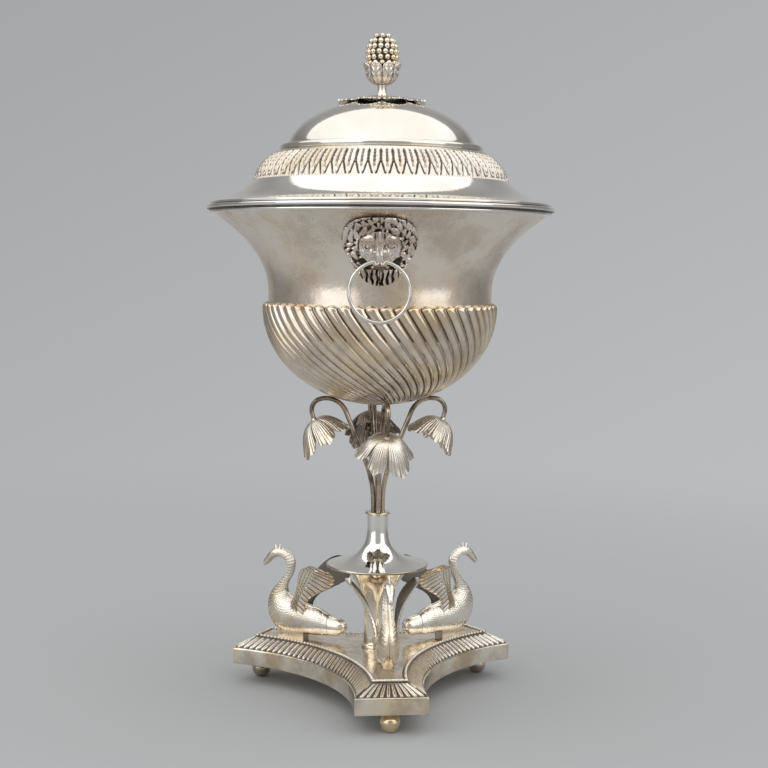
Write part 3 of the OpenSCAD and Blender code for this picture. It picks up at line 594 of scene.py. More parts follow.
def flower(drop):
    """A hanging bell of six petals: a flat-topped quarter oval turned about the
    flower's axis, bulged across each petal, cut away between the petals and a little
    between the three lobes of each tip, and veined lengthways. No two petals are quite
    as long or as open as each other. Five beaded stamens hang inside it."""
    petals, samples, veins, gauge = 6, 44, 9, 0.5
    turn_of = np.linspace(0, TAU, petals * samples, endpoint=False)[None, :]
    petal = np.floor(petals * turn_of / TAU)
    c = 2 * ((petals * turn_of / TAU) % 1) - 1
    lobes = 0.07 * (1 - np.abs(np.cos(1.5 * math.pi * c))) * (1 - c**4)
    length = 1 + 0.07 * np.sin(2.4 * petal + 1)
    tip = length * (0.60 + 0.26 * np.clip(1 - np.abs(c) ** 1.9, 0, 1) ** 0.6 - lobes)
    v = np.linspace(0.03, 1, 48)[:, None]
    a = v * tip * math.pi / 2

    def layer(r, h, sunk):
        bulge = (1.5 * (1 - c**2) + 0.9 * np.cos(1.7 * petal)) * v**1.5
        vein = 0.10 * np.cos(veins * math.pi * c) * np.clip(2 * v, 0, 1)
        curl = 0.7 * (1 - c**2) * np.clip((v - 0.8) / 0.2, 0, 1) ** 2
        out = r * np.sin(a) ** 0.82 + bulge + vein + curl
        z = h * (np.cos(a) ** 1.15 - 1) - sunk
        return np.stack([out * np.cos(turn_of), out * np.sin(turn_of), z], -1)

    outer = layer(FLOWER_R, FLOWER_H, 0)
    inner = layer(FLOWER_R - gauge, FLOWER_H - 0.7, 0.7)
    groove = 0.5 + 0.5 * np.cos(veins * math.pi * c)
    relief = (0.40 + 0.60 * groove) * (1 - 0.8 * np.abs(c) ** 12 * np.clip(1.6 * v, 0, 1))
    grid = np.concatenate([outer, inner[::-1]], 0)
    bell = skin(grid, np.concatenate([relief, 0.1 + 0.5 * relief[::-1]], 0), ring=True, ends=(True, True))
    knob_side = np.array([[0.3, 0.7], [1.05, 0.6], [1.2, 0.1], [1.5, -0.4], [0.3, -0.8]])
    parts = [bell, turn(knob_side, 24, 0.5, open_at_axis=True)]
    stamens, stamen_r, bead_r = 5, 0.28, 0.7
    around = np.linspace(0, TAU, 8, endpoint=False)
    reach = np.linspace(0.4, 2.6, 6)
    for b in TAU * np.arange(stamens) / stamens:
        line = np.stack([reach * math.cos(b), reach * math.sin(b), np.linspace(-1, -8, 6)], -1)
        tube = line[:, None] + stamen_r * np.stack([np.cos(around), np.sin(around), 0 * around], -1)
        parts += [beads(line[-1:], bead_r), skin(tube, 0.3, ring=True, ends=(True, True))]
    lean = math.radians(FLOWER_LEAN)
    tilt = np.array([[math.cos(lean), 0, math.sin(lean)], [0, 1, 0], [-math.sin(lean), 0, math.cos(lean)]])
    at = stem_route(drop)[-1]
    points, *rest = merge(*parts)
    return (points @ tilt.T + [at[0], 0, at[1] - 0.1], *rest)


# ---- the bowl ----


def neck_at(z):
    """Outer radius of the bowl's wall at a height: a straight foot, then a flare by the
    2.1th power of the height above its waist."""
    h = z - NECK_FOOT_Z
    return NECK_R + NECK_FLARE * (np.clip(h - NECK_WAIST, 0, None) / (NECK_H - NECK_WAIST)) ** 2.1


def gadrooned_cup():
    """Half an ellipsoid with 54 lobes. Seen across, a lobe is the 0.7th power of a
    cosine, and its depth shrinks with the radius. The creases turn about the axis by
    half the angle below the ridge, more and more towards the foot, and the lobes close
    over the ridge in round ends. Painted shade darkens the cup towards its foot: the
    relief is lowered there, so more of the dark oxide colour lies on the underside."""
    lobes, samples, depth, swirl = 54, 14, 1.35, 0.5
    ridge_turn = np.linspace(0, TAU, lobes * samples, endpoint=False)[None, :]
    lobe = np.abs(np.cos(lobes / 2 * ridge_turn)) ** 0.7
    a = np.radians(np.linspace(2, 90, 74))[:, None]
    normal = np.hypot(np.sin(a) / CUP_R, np.cos(a) / CUP_H)
    sunk = depth * (1 - lobe) * np.sin(a)
    r = CUP_R * np.sin(a) - sunk * np.sin(a) / CUP_R / normal
    z = CUP_Z - CUP_H * np.cos(a) + sunk * np.cos(a) / CUP_H / normal
    below = math.pi / 2 - a
    turn_of = ridge_turn + swirl * below * (1 + 0.5 * below)
    over = np.radians(np.linspace(12, 90, 8))[:, None]
    end_r = r[-1] - (r[-1] - NECK_R) * (1 - np.cos(over))
    end_z = CUP_Z + (0.5 + 1.7 * lobe) * np.sin(over)
    inside_r, inside_h = CUP_R - SHEET, CUP_H - SHEET
    lip = math.asin((NECK_R - SHEET) / inside_r)
    b = np.linspace(lip, math.radians(2), 18)[:, None] + 0 * ridge_turn
    radii = np.vstack([r, end_r, 0 * lobe + NECK_R - SHEET, inside_r * np.sin(b)])
    heights = np.vstack([z, end_z, 0 * lobe + NECK_FOOT_Z, CUP_Z - inside_h * np.cos(b)])
    turns = np.vstack([turn_of, *[ridge_turn] * (len(radii) - len(turn_of))])
    # Painted shade: the relief falls towards the foot, so the cup's underside takes more of the dark oxide
    # colour.
    painted_shade_factor = 0.35 + 0.65 * np.clip(a / math.radians(52), 0, 1) ** 1.5
    relief = np.vstack([lobe * painted_shade_factor, lobe + 0 * end_r, 0 * lobe + 1, 0 * b + 1])
    grid = np.stack([radii * np.cos(turns), radii * np.sin(turns), heights], -1)
    return skin(grid, relief, ring=True, ends=(True, True))


def bowl_wall():
    """The plain neck: its outer curve and, a sheet's thickness inside, its inner one."""
    z = np.linspace(NECK_FOOT_Z, RIM_Z, 44)
    outer = np.stack([neck_at(z), z], -1)
    return turn(np.vstack([outer, outer[::-1] - [SHEET, 0]]))


def rim():
    """Two round beads, one over the other and further out, with a dark hollow between."""
    top_r, bottom_r = 0.75, 0.62
    mid_z = (RIM_Z + RIM_TOP_Z) / 2
    bottom = arc((RIM_R - 1.75, RIM_Z + 0.75), bottom_r, -100, 60, 10)
    hollow = [[RIM_R - 1.5, mid_z - 0.1], [RIM_R - 1.4, mid_z + 0.1]]
    top = arc((RIM_R - top_r, RIM_TOP_Z - top_r), top_r, -70, 90, 12)
    inside = [[RIM_IN_R, RIM_TOP_Z - 0.2], [RIM_IN_R, RIM_Z], [RIM_IN_R + SHEET, RIM_Z]]
    profile = np.vstack([inside, bottom, hollow, top, [RIM_IN_R + 0.4, RIM_TOP_Z]])
    relief = np.ones((len(profile), 1))
    first = len(inside) + len(bottom)
    relief[first - 1 : first + len(hollow) + 1] = 0.05
    return turn(profile, 240, relief)


# ---- masks and rings ----


def tuft(a, b, at, heading, length, width, height):
    """Height of one lock of hair: an oval dome about "at" that lies along "heading" in
    degrees and narrows towards its tip."""
    h = math.radians(heading)
    along = ((a - at[0]) * math.cos(h) + (b - at[1]) * math.sin(h)) / length
    across = ((b - at[1]) * math.cos(h) - (a - at[0]) * math.sin(h)) / width
    narrow = 1 - 0.35 * np.clip(along, -1, 1)
    return height * np.sqrt(np.clip(1 - along**2 - (across / narrow) ** 2, 0, None))


def mound(a, b, at, size, height):
    """A soft round hill: height times a bell curve of the distance from its middle."""
    return height * np.exp(-(((a - at[0]) / size[0]) ** 2) - ((b - at[1]) / size[1]) ** 2)


def mask_outline(steps):
    """Edge of the mask from its middle: a flat brow, cheeks widest above the middle,
    straight tapering sides and a round beard. A smooth curve through one side's
    points, mirrored. Starts at the brow's middle and goes round by the left."""
    half = [
        [0, 1.0], [-0.38, 0.99], [-0.70, 0.89], [-0.92, 0.67], [-1.0, 0.36], [-0.91, 0.03],
        [-0.76, -0.28], [-0.60, -0.57], [-0.42, -0.82], [-0.22, -0.96], [0, -1.0],
    ]
    half = np.array(half) * [MASK_W / 2, MASK_H / 2]
    other = half[-2:0:-1] * [-1, 1]
    once = np.vstack([half, other])
    span = 20
    curve = smooth_through(np.vstack([once, once, once]), span)
    first = len(once) * span
    closed = curve[first : 2 * first + 1]
    length = np.concatenate([[0], np.cumsum(np.linalg.norm(np.diff(closed, axis=0), axis=1))])
    at = np.linspace(0, length[-1], steps, endpoint=False)
    return np.interp(at, length, closed[:, 0]), np.interp(at, length, closed[:, 1])


def mane(a, b):
    """Hair: staggered rows of plump locks round the face, in the mask's own polar
    grid, combed a little downwards and wandering a little, so that no two are alike."""
    squeeze, face_b, reach = 1.12, 1.0, 12.3
    turn_of = np.arctan2(a / squeeze, b - face_b)
    out = np.hypot(a / squeeze, b - face_b) / reach
    turn_of = turn_of + 0.10 * np.sin(5 * turn_of + 9 * out) + 0.35 * out * np.sign(turn_of)
    row = out * 5.2 + 0.22 * np.sin(7 * turn_of)
    index = np.floor(row)
    count = np.where(index >= 4, 25, np.where(index >= 3, 21, 16))
    across = 2 * ((turn_of / TAU * count + 0.5 * (index % 2)) % 1) - 1
    along = 2 * (row % 1) - 1
    lock = np.clip(1 - across**2 * (1 + 0.5 * along) - 0.75 * along**2, 0, 1) ** 0.38
    strands = 1 - 0.12 * np.cos(3 * math.pi * across)
    return 1.1 + (1.5 - 0.35 * (index - 3)) * lock * strands


def beard(a, b):
    """Upright plump locks under the mouth, which wave and gather towards their tips.
    The ones in the middle are longest."""
    down = np.clip((-b - 5.6) / 6.4, 0, 1)
    across = 2 * ((a / (2.1 - 0.35 * down) + 0.12 * np.sin(9 * down + a) + 0.5) % 1) - 1
    length = 1.15 - 0.25 * (a / 7.2) ** 2 + 0.06 * np.cos(3 * a)
    lock = np.clip(1 - across**2 - (down / length) ** 5, 0, 1) ** 0.45
    return 0.5 + 2.6 * lock * (1 - 0.10 * np.cos(3 * math.pi * across))


def lion_face(a, b):
    """Smooth face: a broad wedge that rises to the nose, under heavy brows, with almond
    eyes in deep sockets and a two-lobed muzzle."""
    ridge_half = np.interp(b, [-5, -3, 0, 2.5, 5, 7], [3.6, 3.6, 2.4, 1.7, 2.1, 2.8])
    ridge_top = np.interp(b, [-5.0, -4.4, -3.0, 0, 2.5, 7], [1.2, 3.6, 4.5, 3.5, 2.0, 1.3])
    face = 2.0 * np.sqrt(np.clip(1.2 - (a / 8.4) ** 2 - ((b - 1.6) / 7.4) ** 2, 0, 1))
    face = face + ridge_top * np.exp(-np.abs(a / ridge_half) ** 3)
    for sign in (-1, 1):
        eye, slope = (sign * 4.1, 2.4), -16 * sign
        brow = mound(a, b, (sign * 4.3, 5.0), (3.0, 1.2), 1.7)
        cheek = mound(a, b, (sign * 6.0, -0.6), (1.7, 1.9), 0.9)
        socket = mound(a, b, eye, (2.4, 1.3), 1.7)
        face = face + brow + cheek - socket
        lids = 0.7 * tuft(a, b, eye, slope, 2.1, 1.15, 1.0) ** 0.6
        opening = 0.8 * (tuft(a, b, eye, slope, 1.6, 0.75, 1.0) > 0)
        eyeball = tuft(a, b, eye, slope, 1.25, 0.7, 1.0) ** 0.6
        pupil = mound(a, b, (sign * 4.0, 2.4), (0.28, 0.28), 0.5)
        face = face + lids - opening + eyeball - pupil
        frown = mound(a, b, (sign * 1.7, 5.6), (0.35, 1.8), 1.2)
        muzzle = mound(a, b, (sign * 1.9, -3.4), (1.6, 1.2), 0.9)
        nose_edge = mound(a, b, (sign * 1.2, 0.2), (0.6, 3.0), 0.7)
        nostril = mound(a, b, (sign * 1.0, -2.2), (0.5, 0.35), 0.9)
        face = face - frown + muzzle + nose_edge - nostril
    lip_cleft = mound(a, b, (0, -3.8), (0.3, 1.2), 1.1)
    forelock = tuft(a, b, (0, 6.0), -90, 2.2, 0.9, 1.3)
    return face - lip_cleft + forelock


def mask_relief(a, b):
    """Height of the lion's mask above the bowl's wall. a is across and b is up, from
    the mask's middle: mane, face inside it, beard below, and deep mouth corners."""
    face_b = [-5.0, -4.2, -2.6, -1.0, 2.0, 4.5, 6.6, 8.0]
    face_half = np.interp(b, face_b, [0.1, 3.9, 5.2, 7.2, 8.2, 7.9, 5.4, 0.1])
    inside = np.abs(a) < face_half
    under = (b < -5.6) & (np.abs(a) < 7.2)
    chin = 0.9 + 1.6 * np.exp(-((a / 3.0) ** 4) - ((b + 6.0) / 0.8) ** 2)
    height = np.where(inside, np.maximum(lion_face(a, b), 1.0), np.where(under, beard(a, b), mane(a, b)))
    corner = mound(np.abs(a), b, (5.9, -3.5), (1.6, 1.4), 1.0) ** 0.5
    mouth = (b > -5.8) & (b < -4.5) & (np.abs(a) < 5.2)
    height = np.where(mouth & ~inside, chin, height)
    height = height - 3.0 * corner * ~inside
    return np.clip(height, 0.45, 8.4)


def lion_mask():
    """A height field on the flared wall: rays from the mask's middle to its edge, each
    point standing off the wall by the relief, with a straight edge down to the wall."""
    edge_a, edge_b = mask_outline(400)
    share = np.linspace(0.008, 1, 84)[:, None]
    a, b = edge_a * share, edge_b * share
    height = np.minimum(mask_relief(a, b), 1.5 + 24 * (1 - share))
    sunk, outwards, downwards = 0.3, 0.97, 0.24

    def on_wall(a, b, off):
        z = MASK_MID_Z + b
        y = -np.sqrt(neck_at(z) ** 2 - a**2) - off * outwards
        return np.stack([a, y, z - off * downwards], -1)

    face = on_wall(a, b, height)
    skirt = on_wall(a[-1:], b[-1:], 0 * a[-1:] - sunk)
    back = on_wall(a[::-6], b[::-6], 0 * a[::-6] - sunk)
    relief = worn(height, 3, 1.3) * np.clip((height - 0.5) / 0.8, 0, 1)
    relief = np.vstack([relief, 0 * relief[:1], 0 * relief[::-6]])
    return skin(np.vstack([face, skirt, back]), relief, ring=True, ends=(True, True))


def loose_ring():
    """A wire hoop: a circle carried round another in the upright plane of the hinge."""
    around = np.linspace(0, TAU, 128, endpoint=False)[:, None]
    wire = np.linspace(0, TAU, 20, endpoint=False)[None, :]
    out = RING_R + RING_WIRE_R * np.cos(wire)
    y = RING_WIRE_R * np.sin(wire) - RING_Y + 0 * around
    grid = np.stack([out * np.sin(around), y, HINGE_Z - RING_R + out * np.cos(around)], -1)
    return skin(grid, 0.9, ring=True, loop=True)


# ---- the lid ----


def band_face(v):
    """Radius and height of the leaf band's face, a slope that swells by a half sine."""
    swell = np.sin(math.pi * v)
    r = BAND_R - BAND_IN * v + BAND_SWELL * swell
    z = BAND_Z + (BAND_TOP_Z - BAND_Z) * v + 0.6 * BAND_SWELL * swell
    return r, z


def lid_sheet_metal():
    """Hollow cove, seat for the leaf band, and half-ellipsoid dome: one turned sheet
    with a rounded outer lip."""
    u = np.linspace(0, 1, 30)
    lip_r, cove_w, under_band = 0.5, 17.0, 1.2
    lip_z = LID_Z + lip_r
    cove_z = lip_z + lip_r + (BAND_Z - lip_z - lip_r) * u
    cove = np.stack([LID_R - lip_r - (cove_w - lip_r) * u**0.6, cove_z], -1)
    lip = arc((LID_R - lip_r, lip_z), lip_r, -90, 80, 9)
    seat_r = BAND_R - under_band
    seat = np.array([[seat_r, BAND_Z], [seat_r - BAND_IN, BAND_TOP_Z], [DOME_R, BAND_TOP_Z]])
    a = np.radians(np.linspace(2, 89.3, 48))
    curve = np.stack([np.cos(a), np.sin(a)], -1)
    dome_size = np.array([DOME_R, DOME_TOP_Z - DOME_Z])
    dome = [0, DOME_Z] + curve * dome_size
    inner_dome = ([0, DOME_Z] + curve * (dome_size - LID_SHEET))[::-1]
    inner_r = seat_r - LID_SHEET
    inner_seat = np.array([[inner_r - BAND_IN, BAND_TOP_Z - LID_SHEET], [inner_r, BAND_Z]])
    inner_cove = (cove - [0.5 * LID_SHEET, LID_SHEET])[::-1]
    profile = [lip, cove[1:], seat, dome, inner_dome, inner_seat, inner_cove[:-2], [[LID_R - 3, LID_Z]]]
    return turn(np.vstack(profile), 240)


def bezel():
    """The ring under the lid: a tube with rounded edges."""
    inner_r, top = BEZEL_R - SHEET, LID_Z + 0.2
    return turn(soften([[BEZEL_R, BEZEL_Z], [BEZEL_R, top], [inner_r, top], [inner_r, BEZEL_Z]], 0.4))


def leaf_band():
    """Sixty-four ribbed leaves in relief round the lid, tips down, with darts between
    the tips, under a plain fillet and over a scalloped edge."""
    leaves, samples, depth, edge_v, fillet_v = 64, 20, 1.0, 0.05, 0.88
    a = np.linspace(0, TAU, leaves * samples, endpoint=False)[None, :]
    c = 2 * ((leaves * a / TAU) % 1) - 1
    v = np.linspace(0, 1, 44)[:, None]
    leaf = leaf_and_dart(c, np.clip((v - edge_v) / (fillet_v - edge_v), 0, 1))
    scallop = 0.5 + 0.5 * np.abs(np.cos(2 * math.pi * c))
    relief = np.where(v < edge_v, scallop, np.where(v > fillet_v, 0.9, leaf))
    r, z = band_face(v)
    sunk = depth * (1 - relief)
    r = r - 0.8 * sunk
    z = z - 0.6 * sunk * (v > 0.02) + 0 * a
    back_r, back_z = band_face(np.array([[1.0], [0.0]]))
    radii = np.vstack([r, back_r - 1.6 + 0 * a])
    heights = np.vstack([z, back_z + 0 * a])
    grid = np.stack([radii * np.cos(a), radii * np.sin(a), heights], -1)
    return skin(grid, np.vstack([relief, 0 * relief[:2]]), ring=True, loop=True)


def lid_wire():
    """A round wire where the dome meets the leaf band."""
    return turn(arc((DOME_R + WIRE_R, BAND_TOP_Z + WIRE_R), WIRE_R, 0, 345, 24))


def rosette():
    """A thin drooping plate cut into eight lobed leaves, with a rib along each leaf and
    veins that slant from it. The tips curl up a little."""
    leaves, samples, hole_r, gauge = 8, 40, 1.8, 0.35
    a = np.linspace(0, TAU, leaves * samples, endpoint=False)[None, :]
    c = 2 * ((leaves * a / TAU) % 1) - 1
    t = np.linspace(0, 1, 40)[:, None]
    reach = 0.72 + 0.28 * np.sqrt(np.clip(1 - np.abs(c) ** 1.6, 0, 1))
    reach = reach - 0.035 * np.abs(np.sin(4.5 * math.pi * c))
    r = hole_r + (ROSETTE_R * reach - hole_r) * t
    top = foot_and_top("lid_rosette")[1]
    vein = 0.5 + 0.5 * np.cos(TAU * (5 * t - 2.2 * np.abs(c)))
    rib = np.exp(-((c * (0.3 + t)) / 0.07) ** 2)
    relief = np.clip(0.35 + 0.65 * vein, 0, 1) * (1 - rib) + rib
    relief = relief * (1 - 0.9 * np.abs(c) ** 8)
    droop = top - gauge - 2.6 * t**1.6 + 0.5 * t**8
    upper = np.stack([r * np.cos(a), r * np.sin(a), droop + 0.28 * relief], -1)
    lower = np.stack([r * np.cos(a), r * np.sin(a), droop - gauge + 0 * a], -1)
    grid = np.concatenate([upper, lower[::-1]], 0)
    return skin(grid, np.concatenate([relief, 0.5 + 0 * relief], 0), ring=True, loop=True)


def calyx():
    """A short stem that opens into a cup of eight leaves. Each leaf bulges across, has
    a rib and side veins, and its tip stands out from the berry and curls."""
    leaves, samples = 8, 24
    a = np.linspace(0, TAU, leaves * samples, endpoint=False)[None, :]
    c = 2 * ((leaves * a / TAU) % 1) - 1
    v = np.linspace(0, 1, 40)[:, None]
    tall = CALYX_TOP_Z + 0.8 - CALYX_Z
    tip = 0.74 + 0.26 * np.sqrt(np.clip(1 - c**2, 0, 1))
    rise = v * tip
    opened = np.sin(np.clip(rise * 1.35, 0, 1) * math.pi / 2) ** 0.5
    bell = FINIAL_STEM_R + (CALYX_R - 1.5 - FINIAL_STEM_R) * opened
    veins = 0.85 + 0.15 * np.cos(TAU * (4 * rise - 1.5 * np.abs(c)))
    leaf = cushion(c, 1.0) ** 0.7 * (1 - 0.45 * np.exp(-((c / 0.12) ** 2))) * veins
    curl = 1.1 * np.exp(-(((v - 0.92) / 0.08) ** 2)) * (1 - c**2)
    r = bell + 0.75 * leaf * np.clip(2.5 * v, 0, 1) + curl - 0.8 * np.clip((v - 0.96) / 0.04, 0, 1)
    z = CALYX_Z + tall * rise**1.15 - 0.5 * np.clip((v - 0.95) / 0.05, 0, 1)
    inner_r = np.linspace(CALYX_R - 2.6, 2, 4)[:, None] + 0 * a
    inner_z = np.full((4, 1), CALYX_TOP_Z - 2.5) + 0 * a
    stem_v = np.array([[0.0], [0.15], [0.3], [0.8], [0.95]])
    stem_r = FINIAL_STEM_R + np.array([[0.5], [0.45], [0.0], [0.0], [0.25]]) + 0 * a
    stem_z = FINIAL_Z + (CALYX_Z - FINIAL_Z) * stem_v + 0 * a
    radii = np.vstack([stem_r, r, inner_r])
    heights = np.vstack([stem_z, z, inner_z])
    relief = np.vstack([1 + 0 * stem_r, leaf * (0.5 + 0.5 * v), 0 * inner_r])
    grid = np.stack([radii * np.cos(a), radii * np.sin(a), heights], -1)
    return skin(grid, relief, ring=True, ends=(True, True))


def berry_radius(z):
    """Radius of the berry's egg at a height: an ellipse about its waist."""
    waist_z = BERRY_Z + 5.0
    return BERRY_R * np.sqrt(np.clip(1 - ((z - waist_z) / (BERRY_TOP_Z + 0.1 - waist_z)) ** 2, 0, 1))


def berry_core():
    """The dark body between the pearls of the berry: an egg a little smaller than it."""
    z = np.linspace(BERRY_Z, BERRY_TOP_Z - 1.4, 24)
    return turn(np.stack([np.maximum(berry_radius(z + 0.6) - 1.1, 0.2), z], -1), 64, 0.0, open_at_axis=True)


def berry_pearls():
    """Rows of round pearls on the berry, staggered, as many to a row as its girth takes."""
    rows, pearl_r, pitch, first_z, step_z = 6, 1.12, 2.6, 1.6, 2.12
    places = []
    for k in range(rows):
        z = BERRY_Z + first_z + step_z * k
        r = max(float(berry_radius(z)) - 0.95, 1.3)
        count = max(4, round(TAU * r / pitch))
        a = (np.arange(count) + 0.5 * (k % 2)) * TAU / count
        places.append(np.stack([r * np.cos(a), r * np.sin(a), np.full(count, z)], -1))
    places.append(np.array([[0, 0, BERRY_TOP_Z - pearl_r]]))
    return beads(np.vstack(places), pearl_r)


# ---- finishes ----


def silver(name, metal, tarnish, tarnish_share, smooth, rough, patch=22.0, grain=900.0, grain_depth=0.04,
           oxide=(0.02, 0.018, 0.016), oxide_from=0.45, oxide_share=0.9, hammer=0.0, stains=0.35, cuts=True):
    """Old silver. Yellow stains and soft patches of tarnish lie over the metal, dark
    oxide stays where the relief is low, and fine grain and dents bend the gloss. A
    finish without cuts is for meshes that carry no relief; its oxide is in specks."""
    material = bpy.data.materials.new(name)
    material.use_nodes = True
    nodes, links = material.node_tree.nodes, material.node_tree.links
    shader = nodes["Principled BSDF"]

    def node(kind, **values):
        made = nodes.new(kind)
        for key, value in values.items():
            if hasattr(made, key):
                setattr(made, key, value)
            else:
                made.inputs[key.replace("_", " ")].default_value = value
        return made

    def noise(scale, detail, roughness=0.55):
        made = node("ShaderNodeTexNoise")
        made.inputs["Scale"].default_value = scale
        made.inputs["Detail"].default_value = detail
        made.inputs["Roughness"].default_value = roughness
        links.new(coordinates.outputs["Object"], made.inputs["Vector"])
        return made.outputs["Fac"]

    def spread(value, low, high, to_low=0.0, to_high=1.0):
        made = node("ShaderNodeMapRange", interpolation_type="SMOOTHSTEP")
        links.new(value, made.inputs["Value"])
        for socket, number in zip(("From Min", "From Max", "To Min", "To Max"), (low, high, to_low, to_high)):
            made.inputs[socket].default_value = number
        return made.outputs["Result"]

    def combine(operation, first, second):
        made = node("ShaderNodeMath", operation=operation)
        for socket, value in zip(made.inputs, (first, second)):
            if isinstance(value, (int, float)):
                socket.default_value = value
            else:
                links.new(value, socket)
        return made.outputs["Value"]

    def blend(share, first, second):
        made = node("ShaderNodeMix", data_type="RGBA")
        links.new(share, made.inputs["Factor"])
        for index, value in ((6, first), (7, second)):
            if isinstance(value, tuple):
                made.inputs[index].default_value = (*value, 1)
            else:
                links.new(value, made.inputs[index])
        return made.outputs[2]

    coordinates = node("ShaderNodeTexCoord")
    clouds = noise(patch, 5, 0.62)
    specks = noise(grain, 2)
    smears = noise(patch * 7, 4, 0.6)
    tarnished = combine("MULTIPLY", spread(clouds, 0.38, 0.66), tarnish_share)
    speckled = combine("MULTIPLY", spread(combine("MULTIPLY", clouds, smears), 0.27, 0.42), tarnish_share)
    dulled = combine("MAXIMUM", tarnished, speckled)
    if cuts:
        relief = node("ShaderNodeAttribute", attribute_name="relief").outputs["Fac"]
        uneven = combine("ADD", relief, combine("MULTIPLY", combine("SUBTRACT", smears, 0.5), 0.3))
        low = spread(uneven, 0.0, oxide_from, oxide_share, 0.0)
    else:
        low = spread(specks, 0.75, 0.95)
    gilt = tuple(part * share for part, share in zip(metal, (0.98, 0.80, 0.52)))
    stained = combine("MULTIPLY", spread(noise(patch * 0.7, 4), 0.48, 0.68), stains)
    base = blend(dulled, blend(stained, metal, gilt), tarnish)
    colour = blend(low, base, oxide)
    links.new(colour, shader.inputs["Base Color"])
    dullness = combine("ADD", combine("MULTIPLY", smears, 0.6), combine("MULTIPLY", dulled, 0.4))
    sheen = spread(dullness, 0.2, 0.8, smooth, rough)
    links.new(combine("ADD", sheen, combine("MULTIPLY", low, 0.35)), shader.inputs["Roughness"])
    links.new(spread(low, 0.2, 1.0, 1.0, 0.35), shader.inputs["Metallic"])
    bump = node("ShaderNodeBump")
    bump.inputs["Strength"].default_value = grain_depth
    bump.inputs["Distance"].default_value = 0.0004
    links.new(specks, bump.inputs["Height"])
    if hammer:
        dents = node("ShaderNodeBump")
        dents.inputs["Strength"].default_value = hammer
        dents.inputs["Distance"].default_value = 0.002
        links.new(noise(patch * 2.2, 2), dents.inputs["Height"])
        links.new(dents.outputs["Normal"], bump.inputs["Normal"])
    links.new(bump.outputs["Normal"], shader.inputs["Normal"])
    return material


BROWN = (0.50, 0.39, 0.27)

polished = silver("polished_old_silver", (0.90, 0.89, 0.86), (0.66, 0.57, 0.44), 0.45, 0.05, 0.15,
                  hammer=0.05, stains=0.12)
warm = silver("polished_warm_silver", (0.93, 0.86, 0.72), (0.50, 0.39, 0.25), 0.6, 0.07, 0.20, patch=50,
              hammer=0.10, stains=0.8)
plate_metal = silver("browned_plate_silver", (0.78, 0.71, 0.61), (0.40, 0.31, 0.22), 0.75, 0.09, 0.24,
                     patch=60, hammer=0.08)
satin = silver("satin_tarnished_silver", (0.89, 0.81, 0.715), (0.60, 0.48, 0.36), 0.6, 0.21, 0.40, patch=60,
               grain_depth=0.10, hammer=0.10)
base_metal = silver("brushed_base_silver", (0.90, 0.83, 0.72), (0.50, 0.40, 0.29), 0.7, 0.10, 0.28, patch=90,
                    grain_depth=0.08, hammer=0.14, stains=0.6)
gadroon = silver("gadrooned_silver", (0.87, 0.78, 0.66), BROWN, 0.6, 0.10, 0.26, patch=60, oxide_from=0.6,
                 oxide=(0.08, 0.05, 0.03), stains=0.6)
swan_metal = silver("chased_swan_silver", (0.95, 0.90, 0.81), (0.60, 0.48, 0.34), 0.5, 0.12, 0.30, patch=70,
                    grain=1500, grain_depth=0.2, oxide_from=0.66, oxide=(0.03, 0.022, 0.015), stains=0.6)
chased = silver("chased_frosted_silver", (0.93, 0.88, 0.80), (0.60, 0.49, 0.36), 0.5, 0.18, 0.36, patch=60,
                grain=1500, grain_depth=0.2, oxide_from=0.62, oxide=(0.07, 0.05, 0.032))
frosted = silver("frosted_leaf_silver", (0.89, 0.84, 0.76), (0.56, 0.46, 0.34), 0.5, 0.14, 0.30, patch=60,
                 grain=1500, grain_depth=0.15, oxide_from=0.8, oxide=(0.05, 0.035, 0.022))
oxidised = silver("oxidised_cast_silver", (0.92, 0.85, 0.79), (0.40, 0.31, 0.26), 0.6, 0.06, 0.18, patch=90,
                  grain=1300, grain_depth=0.12, oxide_from=0.56, oxide=(0.045, 0.03, 0.022), oxide_share=1.0)
# Brown tarnish on the stems. On the left and right ball feet the same dark metal is painted shade and painted
# dark reflection.
stem_tarnish_and_foot_shade_metal = silver("browned_stem_and_painted_shade_foot_silver", (0.62, 0.52, 0.42), (0.10, 0.07, 0.05), 0.9, 0.05, 0.16, patch=90)
# Painted shade: a darker, browner copy of the chased silver for the back flower, which hangs in shadow behind
# the stems.
painted_shade_flower_metal = silver("painted_shade_flower_silver", (0.55, 0.46, 0.38), (0.14, 0.10, 0.08), 0.9, 0.2, 0.4, patch=80,
                 oxide_from=0.7, oxide=(0.03, 0.02, 0.015))
lug_metal = silver("soldered_lug_silver", (0.85, 0.76, 0.62), BROWN, 0.5, 0.2, 0.4, patch=60, cuts=False)
steel = silver("turned_steel", (0.50, 0.49, 0.47), (0.22, 0.19, 0.16), 0.7, 0.25, 0.5, patch=120, cuts=False)


# ---- pieces ----


